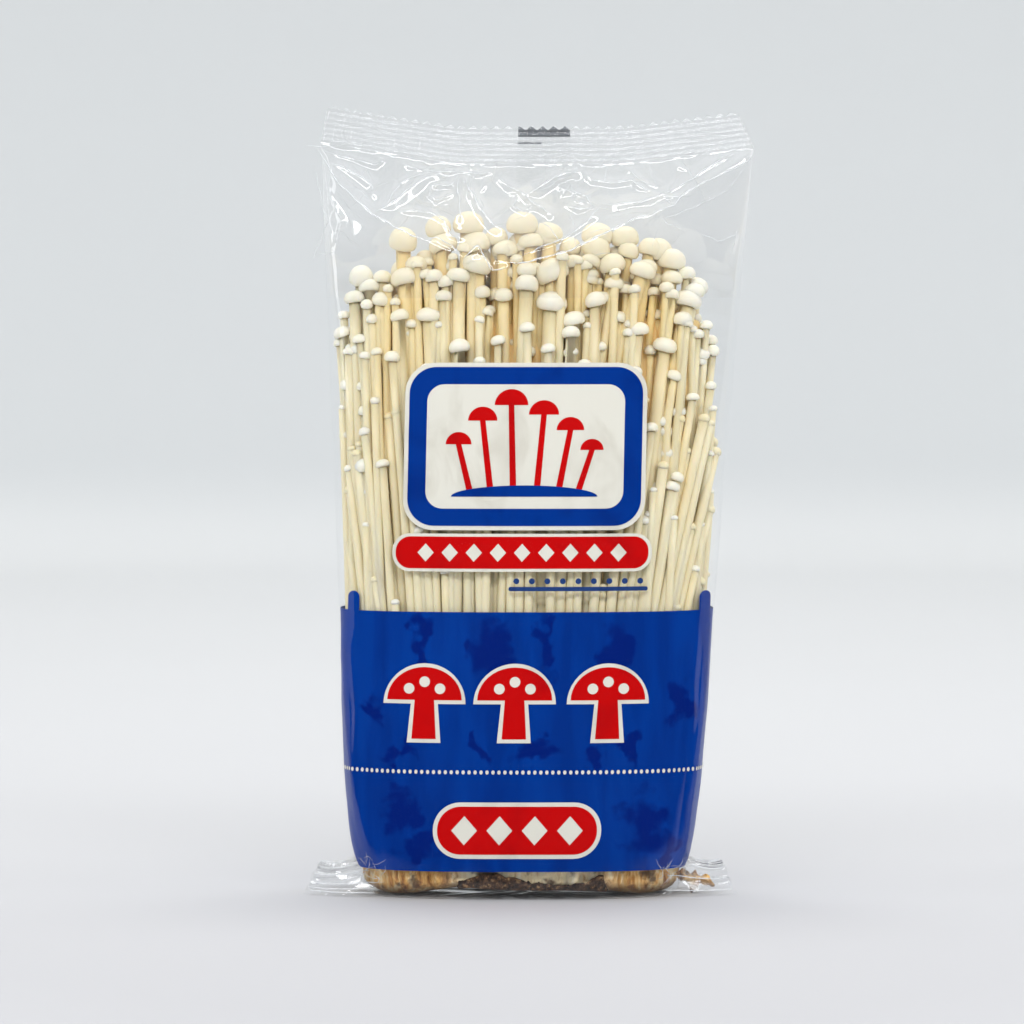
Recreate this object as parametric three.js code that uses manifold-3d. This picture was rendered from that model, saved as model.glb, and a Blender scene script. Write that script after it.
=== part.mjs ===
// A bunch of enoki mushrooms in its heat-sealed film pouch, standing on its cut root.
// Millimetres, +Z up, the front of the pouch faces -Y, and the origin is the centre of the footprint.
//
// Three pieces: the bunch, which grew as one body of stems, caps and matted root; the layer of spent
// growing medium that clings under the root; and the pouch, one tube of film with a seam down its back
// and a crimped seal at each end.

import * as THREE from "three";
import { mergeVertices } from "three/addons/utils/BufferGeometryUtils.js";
import Module from "manifold-3d";

const wasm = await Module();
wasm.setup();

// ---------------------------------------------------------------- driving dimensions

const WALL = 0.7; // film, thickened from 0.04 so that it is a solid
const GAP = 0.35; // clear space between two pieces that touch

// Outside of the filled film tube: [height, half width, half depth]. Its girth stays near 210.
const TUBE = [
  [0, 35.6, 15.6],
  [1.8, 37.6, 17.5],
  [7, 39.4, 18.4],
  [22, 41.8, 18.9],
  [42, 43.3, 18.9],
  [67, 44.2, 18.2],
  [95, 45.7, 16.9],
  [120, 47.2, 14.8],
  [140, 48.4, 12.4],
  [148, 48.9, 11.2],
  [153, 49.3, 10.1],
  [157, 49.6, 9.0],
  [161, 49.9, 7.8],
  [165, 50.2, 6.2],
  [169, 50.6, 4.2],
  [172, 51.0, 2.1],
  [174.5, 51.2, 0.6],
];
const TUBE_SIDES = 44;
const SQUARE_AT_BASE = 2.8; // exponent of the section: boxy at the base, a plain ellipse at the seal
const SQUARE_AT_SEAL = 2.0;
const BEND_FROM = 148; // above this height the tube follows the bends of the top seal
const CAVITY_TOP = 169;

// The V-shaped fold where each broad side of the tube turns flat towards the seal: [x, height] along it.
const FOLD = [
  [-51.2, 170.5],
  [-38.8, 158.3],
  [-15, 149],
  [1.5, 147.8],
  [30.6, 160],
  [51.2, 170.8],
];
const FLAT_LEAST = 0.6; // half depth that the flattened sides keep where they meet in the seal

// The crimped seal across the top. Its ends slope in, the right one more, so its cut edge is shorter
// than its root.
const SEAL = { halfLength: 51.2, low: 170.9, high: 180.4, thick: 1.4, tooth: 2.8, notch: 1 };
const SEAL_TAPER = { left: 0.969, right: 0.918 };
// The top seal is bent at two creases: its two wings rise, one bends back and the other forward.
const WINGS = [
  { crease: -19.4, end: -51.2, rise: 5.0, back: 4.5 },
  { crease: 20.2, end: 51.2, rise: 3.8, back: -4.0 },
];
const CREASE_ROUND = 0.12; // how softly the seal bends at a crease, as a share of a wing
// The whole pack leans a little to the right: its axis passes over x = 0 at this height.
const LEAN = { slope: 0.0215, plumbAt: 49 };

const SEAM = { from: -4.6, to: 8.4, low: 4, high: 180, stand: 0.9 }; // back seam, pressed flat to the tube

// Ears of the bottom seal, folded flat on the floor: [distance out, half depth, height of the fold]
const EAR = [
  [28, 11, 9],
  [36, 11.5, 12.5],
  [40.5, 11, 9.5],
  [44.5, 9.5, 5.2],
  [48, 7.5, 2.6],
  [50.8, 6, 1.4],
];
const EAR_EDGE = 1.1; // height of the ear along its rim
// Across an ear: its ridge and the bend on its slope, as shares of its half depth, and how high that bend is
const EAR_FOLD = { ridge: 0.1, slope: 0.5, slopeRise: 0.45 };

const VENT = { x: 24, z: 148, radius: 2.2, reach: 30, sides: 12 }; // breathing hole in the back of the film

// A patch of spent growing medium, left on the middle of the cut root and as deep as the pouch.
const MEDIUM = { x: 2.5, halfWidth: 20, halfDepth: 30, high: 4.2, sides: 28 };
const RAGGED = { broad: 0.07, fine: 0.05 }; // how uneven its outline is, as shares of its size

// The matted root and the packed inner stems: [height, inset from the tube]
const FLOOR = WALL + GAP;
const CORE = [
  [FLOOR, 1.8],
  [3, 1.3],
  [9, 1.4],
  [19, 1.8],
  [25, 4.2],
  [30, 6.6],
  [108, 6.8],
  [116, 9.0],
];
const CORE_SIDES = 24;

// ---------------------------------------------------------------- the fruit bodies

// Rows run from the middle of the bunch out to the front film. `q` is how far out in depth a row stands,
// as a share of the room there, and `root` is the height at which its stems come out of the core.
// A body is [x of its cap, top of its cap, cap diameter], then its lean if it has one: root x less cap x.
const ROWS = [
  {
    q: -0.16,
    root: 104,
    bodies: [
      [-43.4, 130.6, 3.2],
      [-38.4, 147.0, 5.6],
      [-28.6, 155.6, 6.8],
      [-20.2, 158.6, 6.4],
      [-13.2, 159.8, 7.4],
      [-6.6, 156.0, 5.6],
      [-0.6, 159.9, 7.4],
      [5.8, 157.2, 6.1],
      [16.6, 154.0, 6.8],
      [24.2, 152.6, 4.8],
      [29.2, 153.4, 5.4],
      [34.4, 151.0, 6.4],
    ],
  },
  {
    q: -0.44,
    root: 104,
    bodies: [
      [-36.4, 144.4, 4.9],
      [-25.4, 149.8, 5.4],
      [-19.0, 154.8, 6.4],
      [-11.6, 155.0, 7.2],
      [-4.6, 153.4, 5.9],
      [1.4, 155.4, 5.9],
      [11.4, 150.4, 5.4],
      [20.6, 150.2, 6.6],
      [28.4, 149.0, 5.2],
      [34.4, 146.4, 5.0],
      [39.6, 143.4, 5.4],
      [43.6, 120.4, 2.8],
    ],
  },
  {
    q: -0.7,
    root: 100,
    bodies: [
      [-42.6, 133.4, 4.2],
      [-33.6, 141.2, 4.7],
      [-28.0, 147.0, 6.4],
      [-11.4, 150.4, 7.3],
      [-5.0, 142.4, 4.7, 2],
      [0.4, 148.4, 4.9, -1],
      [6.6, 148.8, 7.6],
      [20.8, 145.0, 4.7, -3],
      [27.4, 148.6, 5.9, -7],
      [38.0, 141.8, 6.4],
      [43.2, 104.4, 2.4],
    ],
  },
  {
    q: -0.86,
    root: 15,
    bodies: [
      [-38.6, 131.6, 3.4],
      [-29.2, 137.4, 4.4],
      [-22.4, 138.2, 5.8, 1],
      [-15.6, 147.2, 5.4],
      [-6.2, 131.4, 3.6],
      [0.4, 145.4, 5.9, -3],
      [6.2, 141.6, 7.2],
      [11.4, 137.0, 5.6],
      [16.6, 141.4, 5.2, 2.6],
      [26.6, 134.4, 4.7, 1],
      [32.6, 131.0, 5.6],
      [39.2, 118.0, 3.2],
    ],
  },
  {
    q: -1,
    root: 15,
    bodies: [
      [-41.2, 101.0, 2.4],
      [-37.4, 109.8, 2.8],
      [-33.2, 102.6, 3.4],
      [-31.0, 127.6, 3.8, 3],
      [-26.2, 92.4, 2.6],
      [-22.8, 125.0, 3.6],
      [-18.6, 77.4, 2.4],
      [-15.2, 130.6, 5.2],
      [-10.6, 126.4, 2.9],
      [-3.4, 121.0, 2.8],
      [1.2, 112.6, 2.6],
      [5.4, 129.4, 3.3],
      [13.8, 126.0, 3.3],
      [20.8, 121.8, 3.8],
      [25.4, 124.2, 4.0],
      [29.4, 111.0, 3.5],
      [35.4, 99.4, 3.3],
      [39.8, 77.6, 2.4],
    ],
  },
];
// Stem diameter as a share of its cap's, within limits, and heights where a long stem has a ring of its
// own. `foot` and `middle` are the radii there as a share of the radius under the cap.
const STEM = { share: 0.52, least: 2.1, most: 3.6, sides: 5, rings: [70], foot: 0.9, middle: 0.95 };
// A cap, in shares of its radius: height of its dome, how far the stem ends under the rim, and the
// radius and height of its shoulder.
const CAP = { rise: 0.95, neck: 0.45, shoulder: 0.72, shoulderRise: 0.6 };
const BACK_SHORTER = 0.985; // the back half is the front half turned round, and a little shorter
const END_STEMS = { beyond: 0.88, root: 15 }; // at the two ends of the bunch every stem starts low down

// ---------------------------------------------------------------- tools

// A closed three.js geometry as a manifold-3d solid.
function solidOf(geometry) {
  const bare = geometry.clone();
  bare.deleteAttribute("normal");
  bare.deleteAttribute("uv");
  const merged = mergeVertices(bare, 1e-4);
  return new wasm.Manifold(
    new wasm.Mesh({
      numProp: 3,
      vertProperties: merged.attributes.position.array,
      triVerts: new Uint32Array(merged.index.array),
    }),
  );
}

// A manifold-3d solid as a three.js geometry.
function geometryOf(solid) {
  const mesh = solid.getMesh();
  const geometry = new THREE.BufferGeometry();
  geometry.setAttribute("position", new THREE.BufferAttribute(mesh.vertProperties, 3));
  geometry.setIndex(new THREE.BufferAttribute(mesh.triVerts, 1));
  geometry.computeVertexNormals();
  return geometry;
}

// The triangles that close a ring, laid across it from its first point on, so that they follow its bends.
function capFaces(count) {
  const faces = [[0, 1, count - 1]];
  let low = 1;
  let high = count - 1;
  while (high - low > 1) {
    faces.push([low, low + 1, high]);
    low += 1;
    if (high - low > 1) {
      faces.push([low, high - 1, high]);
      high -= 1;
    }
  }
  return faces;
}

// A closed skin over rings of points, all as long, each counter-clockwise seen from the last ring's side.
function loft(rings) {
  const count = rings[0].length;
  const points = rings.flat();
  const index = [];
  for (let r = 0; r + 1 < rings.length; r++) {
    for (let i = 0; i < count; i++) {
      const a = r * count + i;
      const b = r * count + ((i + 1) % count);
      index.push(a, b, b + count, a, b + count, a + count);
    }
  }
  const last = (rings.length - 1) * count;
  for (const [a, b, c] of capFaces(count)) {
    index.push(a, c, b);
    index.push(last + a, last + b, last + c);
  }
  const geometry = new THREE.BufferGeometry().setFromPoints(points);
  geometry.setIndex(index);
  return geometry;
}

// The solid within the outermost skin: the voids shut in between fused parts are filled.
function filled(solid) {
  const skins = solid.decompose();
  return skins.reduce((best, skin) => (skin.volume() > best.volume() ? skin : best));
}

// Moves every point of a geometry by a function of the point.
function bend(geometry, move) {
  const position = geometry.attributes.position;
  const point = new THREE.Vector3();
  for (let i = 0; i < position.count; i++) {
    point.fromBufferAttribute(position, i);
    move(point);
    position.setXYZ(i, point.x, point.y, point.z);
  }
  return geometry;
}

// ---------------------------------------------------------------- the shape of the film tube

// Straight-line reading of a list of [place, value, ...] rows, held at its ends.
function between(rows, place) {
  const after = rows.findIndex((row) => row[0] >= place);
  if (after <= 0) return rows[after < 0 ? rows.length - 1 : 0].slice(1);
  const [low, high] = [rows[after - 1], rows[after]];
  const share = (place - low[0]) / (high[0] - low[0]);
  return low.slice(1).map((value, i) => THREE.MathUtils.lerp(value, high[i + 1], share));
}

// Half width and half depth of the tube at a height, and the exponent of its section.
function tubeAt(z) {
  const [width, depth] = between(TUBE, z);
  return { width, depth, square: THREE.MathUtils.lerp(SQUARE_AT_BASE, SQUARE_AT_SEAL, z / SEAL.low) };
}

// Depth of the unfolded film, from the middle plane, at a place across the tube.
function bulgeAt(x, z, inset) {
  const { width, depth, square } = tubeAt(z);
  const across = Math.min(Math.abs(x) / (width - inset), 1);
  return (depth - inset) * (1 - across ** square) ** (1 / square);
}

// How far the film may stand out above its fold, where it runs straight to the seal.
function flatAt(x, z) {
  const [fold] = between(FOLD, x);
  if (z <= fold) return Infinity;
  return Math.max((bulgeAt(x, fold, 0) * (SEAL.low - z)) / (SEAL.low - fold), FLAT_LEAST);
}

// Depth of the film at a place across the tube.
function depthAt(x, z, inset = 0) {
  return Math.min(bulgeAt(x, z, inset), flatAt(x, z) - inset);
}

// A level ring of the tube, inset by a distance.
function tubeRing(z, inset, sides) {
  const { width, depth, square } = tubeAt(z);
  const power = 2 / square;
  return Array.from({ length: sides }, (_, i) => {
    const turn = (2 * Math.PI * i) / sides;
    const c = Math.cos(turn);
    const s = Math.sin(turn);
    const x = (width - inset) * Math.sign(c) * Math.abs(c) ** power;
    const y = Math.min((depth - inset) * Math.abs(s) ** power, flatAt(x, z) - inset);
    return new THREE.Vector3(x, y * Math.sign(s), z);
  });
}

// Sideways place of the pack's axis at a height.
function leanAt(z) {
  return LEAN.slope * (z - LEAN.plumbAt);
}

// Nothing below 0, the value itself well above it, and a rounded bend between.
function softRamp(value) {
  return (value + Math.hypot(value, CREASE_ROUND)) / 2;
}

// The top of the tube and its seal follow the two raised wings.
function followWings(point) {
  const hold = THREE.MathUtils.smoothstep(point.z, BEND_FROM, SEAL.low);
  for (const { crease, end, rise, back } of WINGS) {
    const out = softRamp((point.x - crease) / (end - crease));
    point.z += hold * rise * out;
    point.y += hold * back * out;
  }
}

// ---------------------------------------------------------------- the pouch

function tubeOutside() {
  return bend(loft(TUBE.map(([z]) => tubeRing(z, 0, TUBE_SIDES))), followWings);
}

function tubeCavity() {
  const levels = TUBE.map(([z]) => z).filter((z) => z > 0 && z < CAVITY_TOP);
  const heights = [WALL, ...levels, CAVITY_TOP];
  return bend(loft(heights.map((z) => tubeRing(z, WALL, TUBE_SIDES))), followWings);
}

// The crimped top seal: a thin strip whose upper edge is cut in teeth.
function topSeal() {
  const steps = 2 * Math.round((2 * SEAL.halfLength) / SEAL.tooth);
  const half = SEAL.thick / 2;
  const rings = Array.from({ length: steps + 1 }, (_, i) => {
    const x = SEAL.halfLength * ((2 * i) / steps - 1);
    const high = i % 2 ? SEAL.high : SEAL.high - SEAL.notch;
    const cut = x * (x < 0 ? SEAL_TAPER.left : SEAL_TAPER.right);
    return [
      new THREE.Vector3(x, half, SEAL.low),
      new THREE.Vector3(cut, half, high),
      new THREE.Vector3(cut, -half, high),
      new THREE.Vector3(x, -half, SEAL.low),
    ];
  });
  return bend(loft(rings), followWings);
}

// The seam down the back, lying flat on the tube.
function backSeam() {
  const levels = TUBE.map(([z]) => z).filter((z) => z > SEAM.low && z < SEAM.high);
  const rings = [SEAM.low, ...levels, SEAM.high].map((z) => {
    const corner = (x, out) => new THREE.Vector3(x, depthAt(x, z) + out, z);
    const sunk = -WALL / 2;
    return [
      corner(SEAM.from, sunk),
      corner(SEAM.to, sunk),
      corner(SEAM.to, SEAM.stand),
      corner(SEAM.from, SEAM.stand),
    ];
  });
  return bend(loft(rings), followWings);
}

// One ear of the bottom seal: a gathered fold that runs from the wall of the tube down to the floor.
function ear(side) {
  const { ridge, slope, slopeRise } = EAR_FOLD;
  const rings = EAR.map(([out, halfDepth, height]) => {
    const corner = (across, up) => new THREE.Vector3(side * out, across * halfDepth, up);
    const onSlope = EAR_EDGE + (height - EAR_EDGE) * slopeRise;
    return [
      corner(1, 0),
      corner(1, EAR_EDGE),
      corner(slope, onSlope),
      corner(ridge, height),
      corner(-ridge, height),
      corner(-slope, onSlope),
      corner(-1, EAR_EDGE),
      corner(-1, 0),
    ];
  });
  return loft(side > 0 ? rings : rings.reverse());
}

function ventHole() {
  const hole = new THREE.CylinderGeometry(VENT.radius, VENT.radius, VENT.reach, VENT.sides);
  return hole.translate(VENT.x, VENT.reach / 2, VENT.z);
}

function pouch() {
  const skins = [topSeal(), backSeam(), ear(-1), ear(1)];
  const whole = skins.map(solidOf).reduce((sum, part) => sum.add(part), solidOf(tubeOutside()));
  return geometryOf(filled(whole.subtract(solidOf(tubeCavity())).subtract(solidOf(ventHole()))));
}

// ---------------------------------------------------------------- the bunch

// One fruit body: a turned profile of stem and cap, bent to follow the tube as it narrows.
// `axis` is the cap's distance from the axis of the pack, and `out` its share of the depth there.
function fruitBody({ axis, out, root, top, cap, lean }) {
  const stem = THREE.MathUtils.clamp(cap * STEM.share, STEM.least, STEM.most) / 2;
  const dome = cap / 2;
  const rim = top - dome * CAP.rise;
  const inset = FLOOR + dome;
  const share = axis / (tubeAt(rim).width - inset);
  const foot = Math.abs(share) > END_STEMS.beyond ? END_STEMS.root : root;
  const middle = STEM.rings.filter((z) => z > foot && z < rim);
  const profile = [
    new THREE.Vector2(0, foot),
    new THREE.Vector2(stem * STEM.foot, foot),
    ...middle.map((z) => new THREE.Vector2(stem * STEM.middle, z)),
    new THREE.Vector2(stem, rim - dome * CAP.neck),
    new THREE.Vector2(dome, rim),
    new THREE.Vector2(dome * CAP.shoulder, rim + dome * CAP.shoulderRise),
    new THREE.Vector2(0, top),
  ];
  const body = new THREE.LatheGeometry(profile, STEM.sides, axis).rotateX(Math.PI / 2);
  return bend(body, (point) => {
    const z = Math.min(point.z, rim);
    const x = share * (tubeAt(z).width - inset);
    const rise = THREE.MathUtils.clamp((point.z - foot) / (rim - foot), 0, 1);
    point.x += x + lean * (1 - rise);
    point.y += out * depthAt(x, z, inset);
  });
}

function bodies() {
  return ROWS.flatMap(({ q, root, bodies: row }) =>
    row.flatMap(([x, top, cap, lean = 0]) => {
      const axis = x - leanAt(top);
      return [
        fruitBody({ axis, out: q, root, top, cap, lean }),
        fruitBody({ axis: -axis, out: -q, root, top: top * BACK_SHORTER, cap, lean: -lean }),
      ];
    }),
  );
}

function core() {
  return loft(CORE.map(([z, inset]) => tubeRing(z, inset, CORE_SIDES)));
}

function bunch() {
  const root = solidOf(core()).subtract(solidOf(mediumPatch(GAP)));
  return geometryOf(filled(bodies().map(solidOf).reduce((sum, part) => sum.add(part), root)));
}

// ---------------------------------------------------------------- the growing medium

// An upright block with an uneven outline, grown by a margin, that runs past the front and back of the root.
function mediumPatch(margin) {
  const outline = Array.from({ length: MEDIUM.sides }, (_, i) => {
    const turn = (2 * Math.PI * i) / MEDIUM.sides;
    const uneven = 1 + RAGGED.broad * Math.sin(3 * turn + 1) + RAGGED.fine * Math.sin(7 * turn);
    return new THREE.Vector2(
      MEDIUM.x + (MEDIUM.halfWidth * uneven + margin) * Math.cos(turn),
      (MEDIUM.halfDepth * uneven + margin) * Math.sin(turn),
    );
  });
  const high = MEDIUM.high + margin;
  return new THREE.ExtrudeGeometry(new THREE.Shape(outline), { depth: high, bevelEnabled: false });
}

function medium() {
  return geometryOf(solidOf(core()).intersect(solidOf(mediumPatch(0))));
}

// ---------------------------------------------------------------- the object

const creamFlesh = new THREE.MeshStandardMaterial({ color: 0xe9e0c4, roughness: 0.55, metalness: 0 });
const brownMedium = new THREE.MeshStandardMaterial({ color: 0x6b4b32, roughness: 0.95, metalness: 0 });
const clearFilm = new THREE.MeshStandardMaterial({
  color: 0xe6ecef,
  roughness: 0.12,
  metalness: 0,
  transparent: true,
  opacity: 0.3,
});

function piece(name, upright, material) {
  const geometry = bend(upright, (point) => {
    point.x += leanAt(point.z);
  });
  const mesh = new THREE.Mesh(geometry, material);
  mesh.name = name;
  return mesh;
}

const pack = new THREE.Group();
pack.add(piece("mushroom_bunch", bunch(), creamFlesh));
pack.add(piece("growing_medium", medium(), brownMedium));
pack.add(piece("film_pouch", pouch(), clearFilm));

// The origin is the centre of the box that holds the pack: between the tip of the left ear and the right
// end of the top seal, and between the front of the tube and the back seam.
const leftEnd = leanAt(0) - EAR.at(-1)[0];
const rightEnd = leanAt(SEAL.low + WINGS[1].rise) + SEAL.halfLength;
pack.position.set(-(leftEnd + rightEnd) / 2, -SEAM.stand / 2, 0);

export default pack;
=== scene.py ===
"""Looks of the enoki mushroom bunch in its film pouch.

Shapes are worked out in millimetres in the upright pack, with its front towards -Y, and `placed` leans and
moves them into the row frame, in metres. The tables of the first section are those of the CAD source, apart
from the smaller bodies, which only the looks have.
"""

import math

import bpy
import numpy as np
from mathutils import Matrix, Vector, geometry, noise


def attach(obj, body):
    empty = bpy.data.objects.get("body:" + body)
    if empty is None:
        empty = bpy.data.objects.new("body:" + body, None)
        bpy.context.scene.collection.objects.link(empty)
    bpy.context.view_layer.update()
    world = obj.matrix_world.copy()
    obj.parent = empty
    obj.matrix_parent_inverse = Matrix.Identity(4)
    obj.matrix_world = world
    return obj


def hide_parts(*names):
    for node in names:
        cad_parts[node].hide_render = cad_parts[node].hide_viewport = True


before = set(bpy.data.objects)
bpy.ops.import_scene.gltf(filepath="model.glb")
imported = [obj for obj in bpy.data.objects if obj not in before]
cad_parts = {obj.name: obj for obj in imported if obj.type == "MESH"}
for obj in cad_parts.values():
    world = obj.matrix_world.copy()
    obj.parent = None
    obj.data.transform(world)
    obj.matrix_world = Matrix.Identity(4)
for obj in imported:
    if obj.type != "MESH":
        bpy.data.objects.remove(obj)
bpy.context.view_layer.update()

# ---------------------------------------------------------------- dimensions shared with the CAD source, mm

# Outside of the film tube: height, half width, half depth
TUBE = np.array([
    [0, 35.6, 15.6], [1.8, 37.6, 17.5], [7, 39.4, 18.4], [22, 41.8, 18.9], [42, 43.3, 18.9],
    [67, 44.2, 18.2], [95, 45.7, 16.9], [120, 47.2, 14.8], [140, 48.4, 12.4], [148, 48.9, 11.2],
    [153, 49.3, 10.1], [157, 49.6, 9.0], [161, 49.9, 7.8], [165, 50.2, 6.2], [169, 50.6, 4.2],
    [172, 51.0, 2.1], [174.5, 51.2, 0.6],
])
SQUARE_AT_BASE = 2.8
SQUARE_AT_SEAL = 2.0
BEND_FROM = 148.0
FOLD = np.array([[-51.2, 170.5], [-38.8, 158.3], [-15, 149], [1.5, 147.8], [30.6, 160], [51.2, 170.8]])
FLAT_LEAST = 0.12  # half depth of the film where it runs into the seal
SEAL_LOW = 170.9
SEAL_HIGH = 180.2
SEAL_TAPER_LEFT = 0.969
SEAL_TAPER_RIGHT = 0.918
TOOTH = 2.8
NOTCH = 1.0
# The raised wings of the top seal: crease, end, rise, back
WINGS = [(-19.4, -51.2, 5.4, 4.5), (20.2, 51.2, 3.9, -4.0)]
CREASE_ROUND = 0.12
LEAN_SLOPE = 0.0215
LEAN_PLUMB = 49.0
SEAM_FROM = -4.6
SEAM_TO = 8.4
SEAM_HIGH = 180.0
SHIFT_X = -1.0235
SHIFT_Y = -0.45
ROOM = 1.05  # film and gap, between the outside of the tube and what it holds
# Ears of the bottom seal: distance out, half depth, height of the fold
EAR = np.array([
    [28, 11, 9], [36, 11.5, 12.5], [40.5, 11, 9.5], [44.5, 9.5, 5.2], [48, 7.5, 2.6], [50.8, 6, 1.4],
])
VENT_X = 24.0
VENT_Z = 148.0
VENT_RADIUS = 2.2
# Section of the vent's rim: how far outside the hole's edge, and how far out of the film
VENT_PROFILE = ((-0.25, -0.1), (-0.25, 0.15), (0.15, 0.35), (0.6, 0.1), (0.6, -0.1), (-0.25, -0.1))
MEDIUM = {"x": 2.5, "half_width": 20.0, "half_depth": 30.0}

# Fruit bodies, row by row from the middle out to the film: cap x, top, cap diameter, lean.
# `q` is the share of the depth there, and `root` the height at which the stems come out of the core.
ROWS = [
    (-0.16, 104, [
        (-43.4, 130.6, 3.2, 0), (-38.4, 147.0, 5.6, 0), (-28.6, 155.6, 6.8, 0), (-20.2, 158.6, 6.4, 0),
        (-13.2, 159.8, 7.4, 0), (-6.6, 156.0, 5.6, 0), (-0.6, 159.9, 7.4, 0), (5.8, 157.2, 6.1, 0),
        (16.6, 154.0, 6.8, 0), (24.2, 152.6, 4.8, 0), (29.2, 153.4, 5.4, 0), (34.4, 151.0, 6.4, 0),
    ]),
    (-0.44, 104, [
        (-36.4, 144.4, 4.9, 0), (-25.4, 149.8, 5.4, 0), (-19.0, 154.8, 6.4, 0), (-11.6, 155.0, 7.2, 0),
        (-4.6, 153.4, 5.9, 0), (1.4, 155.4, 5.9, 0), (11.4, 150.4, 5.4, 0), (20.6, 150.2, 6.6, 0),
        (28.4, 149.0, 5.2, 0), (34.4, 146.4, 5.0, 0), (39.6, 143.4, 5.4, 0), (43.6, 120.4, 2.8, 0),
    ]),
    (-0.7, 100, [
        (-42.6, 133.4, 4.2, 0), (-33.6, 141.2, 4.7, 0), (-28.0, 147.0, 6.4, 0), (-11.4, 150.4, 7.3, 0),
        (-5.0, 142.4, 4.7, 2), (0.4, 148.4, 4.9, -1), (6.6, 148.8, 7.6, 0), (20.8, 145.0, 4.7, -3),
        (27.4, 148.6, 5.9, -7), (38.0, 141.8, 6.4, 0), (43.2, 104.4, 2.4, 0),
    ]),
    (-0.86, 15, [
        (-38.6, 131.6, 3.4, 0), (-29.2, 137.4, 4.4, 0), (-22.4, 138.2, 5.8, 1), (-15.6, 147.2, 5.4, 0),
        (-6.2, 131.4, 3.6, 0), (0.4, 145.4, 5.9, -3), (6.2, 141.6, 7.2, 0), (11.4, 137.0, 5.6, 0),
        (16.6, 141.4, 5.2, 2.6), (26.6, 134.4, 4.7, 1), (32.6, 131.0, 5.6, 0), (39.2, 118.0, 3.2, 0),
    ]),
    (-1.0, 15, [
        (-41.2, 101.0, 2.4, 0), (-37.4, 109.8, 2.8, 0), (-33.2, 102.6, 3.4, 0), (-31.0, 127.6, 3.8, 3),
        (-26.2, 92.4, 2.6, 0), (-22.8, 125.0, 3.6, 0), (-18.6, 77.4, 2.4, 0), (-15.2, 130.6, 5.2, 0),
        (-10.6, 126.4, 2.9, 0), (-3.4, 121.0, 2.8, 0), (1.2, 112.6, 2.6, 0), (5.4, 129.4, 3.3, 0),
        (13.8, 126.0, 3.3, 0), (20.8, 121.8, 3.8, 0), (25.4, 124.2, 4.0, 0), (29.4, 111.0, 3.5, 0),
        (35.4, 99.4, 3.3, 0), (39.8, 77.6, 2.4, 0),
    ]),
]
# Smaller bodies that only the looks have: cap x, height of its middle, cap diameter, share of the depth, lean
SMALLER = [
    (-33.4, 144.5, 4.7, -0.3, 0), (-39.9, 139.8, 4.9, -0.72, 0), (-37.0, 138.4, 3.1, -0.8, 0),
    (-24.0, 145.6, 4.7, -0.3, 0), (-19.0, 140.2, 4.2, -0.84, 0), (-42.4, 135.8, 3.3, -0.3, 0),
    (-37.4, 126.4, 2.8, -0.92, 0), (-34.6, 127.3, 2.8, -0.85, 0), (0.5, 133.0, 3.8, -0.93, 4),
    (-35.0, 116.0, 2.4, -0.97, 0), (-42.8, 114.1, 1.9, -0.8, 0), (15.3, 148.2, 5.4, -0.4, 0),
    (11.9, 145.6, 2.6, -0.4, 0), (37.9, 145.5, 4.2, -0.3, 0), (10.7, 131.8, 4.7, -0.97, 0),
    (40.4, 131.5, 3.3, -0.5, 0), (42.5, 133.4, 3.1, -0.3, 0), (44.0, 113.9, 2.4, -0.6, 0),
    (-37.1, 86.9, 1.9, -0.97, 0), (-30.2, 69.2, 2.1, -1.0, 0), (29.9, 95.3, 2.0, -1.0, 0),
    (28.8, 89.6, 2.1, -0.95, 0), (34.7, 88.7, 2.1, -1.0, 0), (41.2, 86.9, 2.1, -0.85, 0),
    (43.5, 94.4, 1.9, -0.6, 0),
]
CAP_OVER_MIDDLE = 0.4  # how far the top of a cap is over its middle, as a share of its diameter
BACK_SHORTER = 0.985
BACK_NARROWER = 0.94
YOUNG_MEASURED = 74.0  # height at which the gaps between stems are measured
SPLAY_FROM = 12.0  # distance from the middle where the stems begin to splay

# ---------------------------------------------------------------- dimensions of the looks alone, mm

BAND_LOW = 6.7
BAND_HIGH = 67.2
DOTS_HIGH = 30.0
DOT_PITCH = 1.39
BADGE = {"x": -1.2, "z": 105.6, "half_width": 28.2, "half_height": 19.4, "foot": 11, "ground": 11.6}
TITLE_HIGH = 81
RULE_X = 11.8
# The three toadstools: places across, height, size, and the spots on a cap
SIGN_PLACES = (-23.4, -2.4, 19.3)
SIGN_HIGH = 46.4
SIGN_SIZE = 17.4
SIGN_SPOTS = ((-3.6, 3.0), (0, 4.6), (3.6, 3.0))
LOW_X = -1.2
LOW_HIGH = 16.4
# The tabs on the upper corners of the band
TAB_PLACES = (-40.7, 41.9)
TAB_HALF = 1.4
TAB_HIGH = 70.3
EYE_LINE_TOP = 176.4
INK_STEP = 0.12  # each layer of ink lies this much further in than the one over it

# ---------------------------------------------------------------- reading the tables


def smooth_read(rows, column, place):
    """Smooth curve through one column of a table, read at many places."""
    x = rows[:, 0]
    y = rows[:, column]
    step = np.diff(x)
    slope = np.diff(y) / step
    inner = (slope[1:] * step[:-1] + slope[:-1] * step[1:]) / (step[:-1] + step[1:])
    tangent = np.concatenate([[slope[0]], inner, [slope[-1]]])
    place = np.clip(place, x[0], x[-1])
    i = np.clip(np.searchsorted(x, place) - 1, 0, len(x) - 2)
    h = step[i]
    t = (place - x[i]) / h
    return (
        y[i] * (1 + 2 * t) * (1 - t) ** 2
        + y[i + 1] * t * t * (3 - 2 * t)
        + tangent[i] * h * t * (1 - t) ** 2
        - tangent[i + 1] * h * t * t * (1 - t)
    )


def smoothstep(value, low, high):
    t = np.clip((value - low) / (high - low), 0, 1)
    return t * t * (3 - 2 * t)


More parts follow.
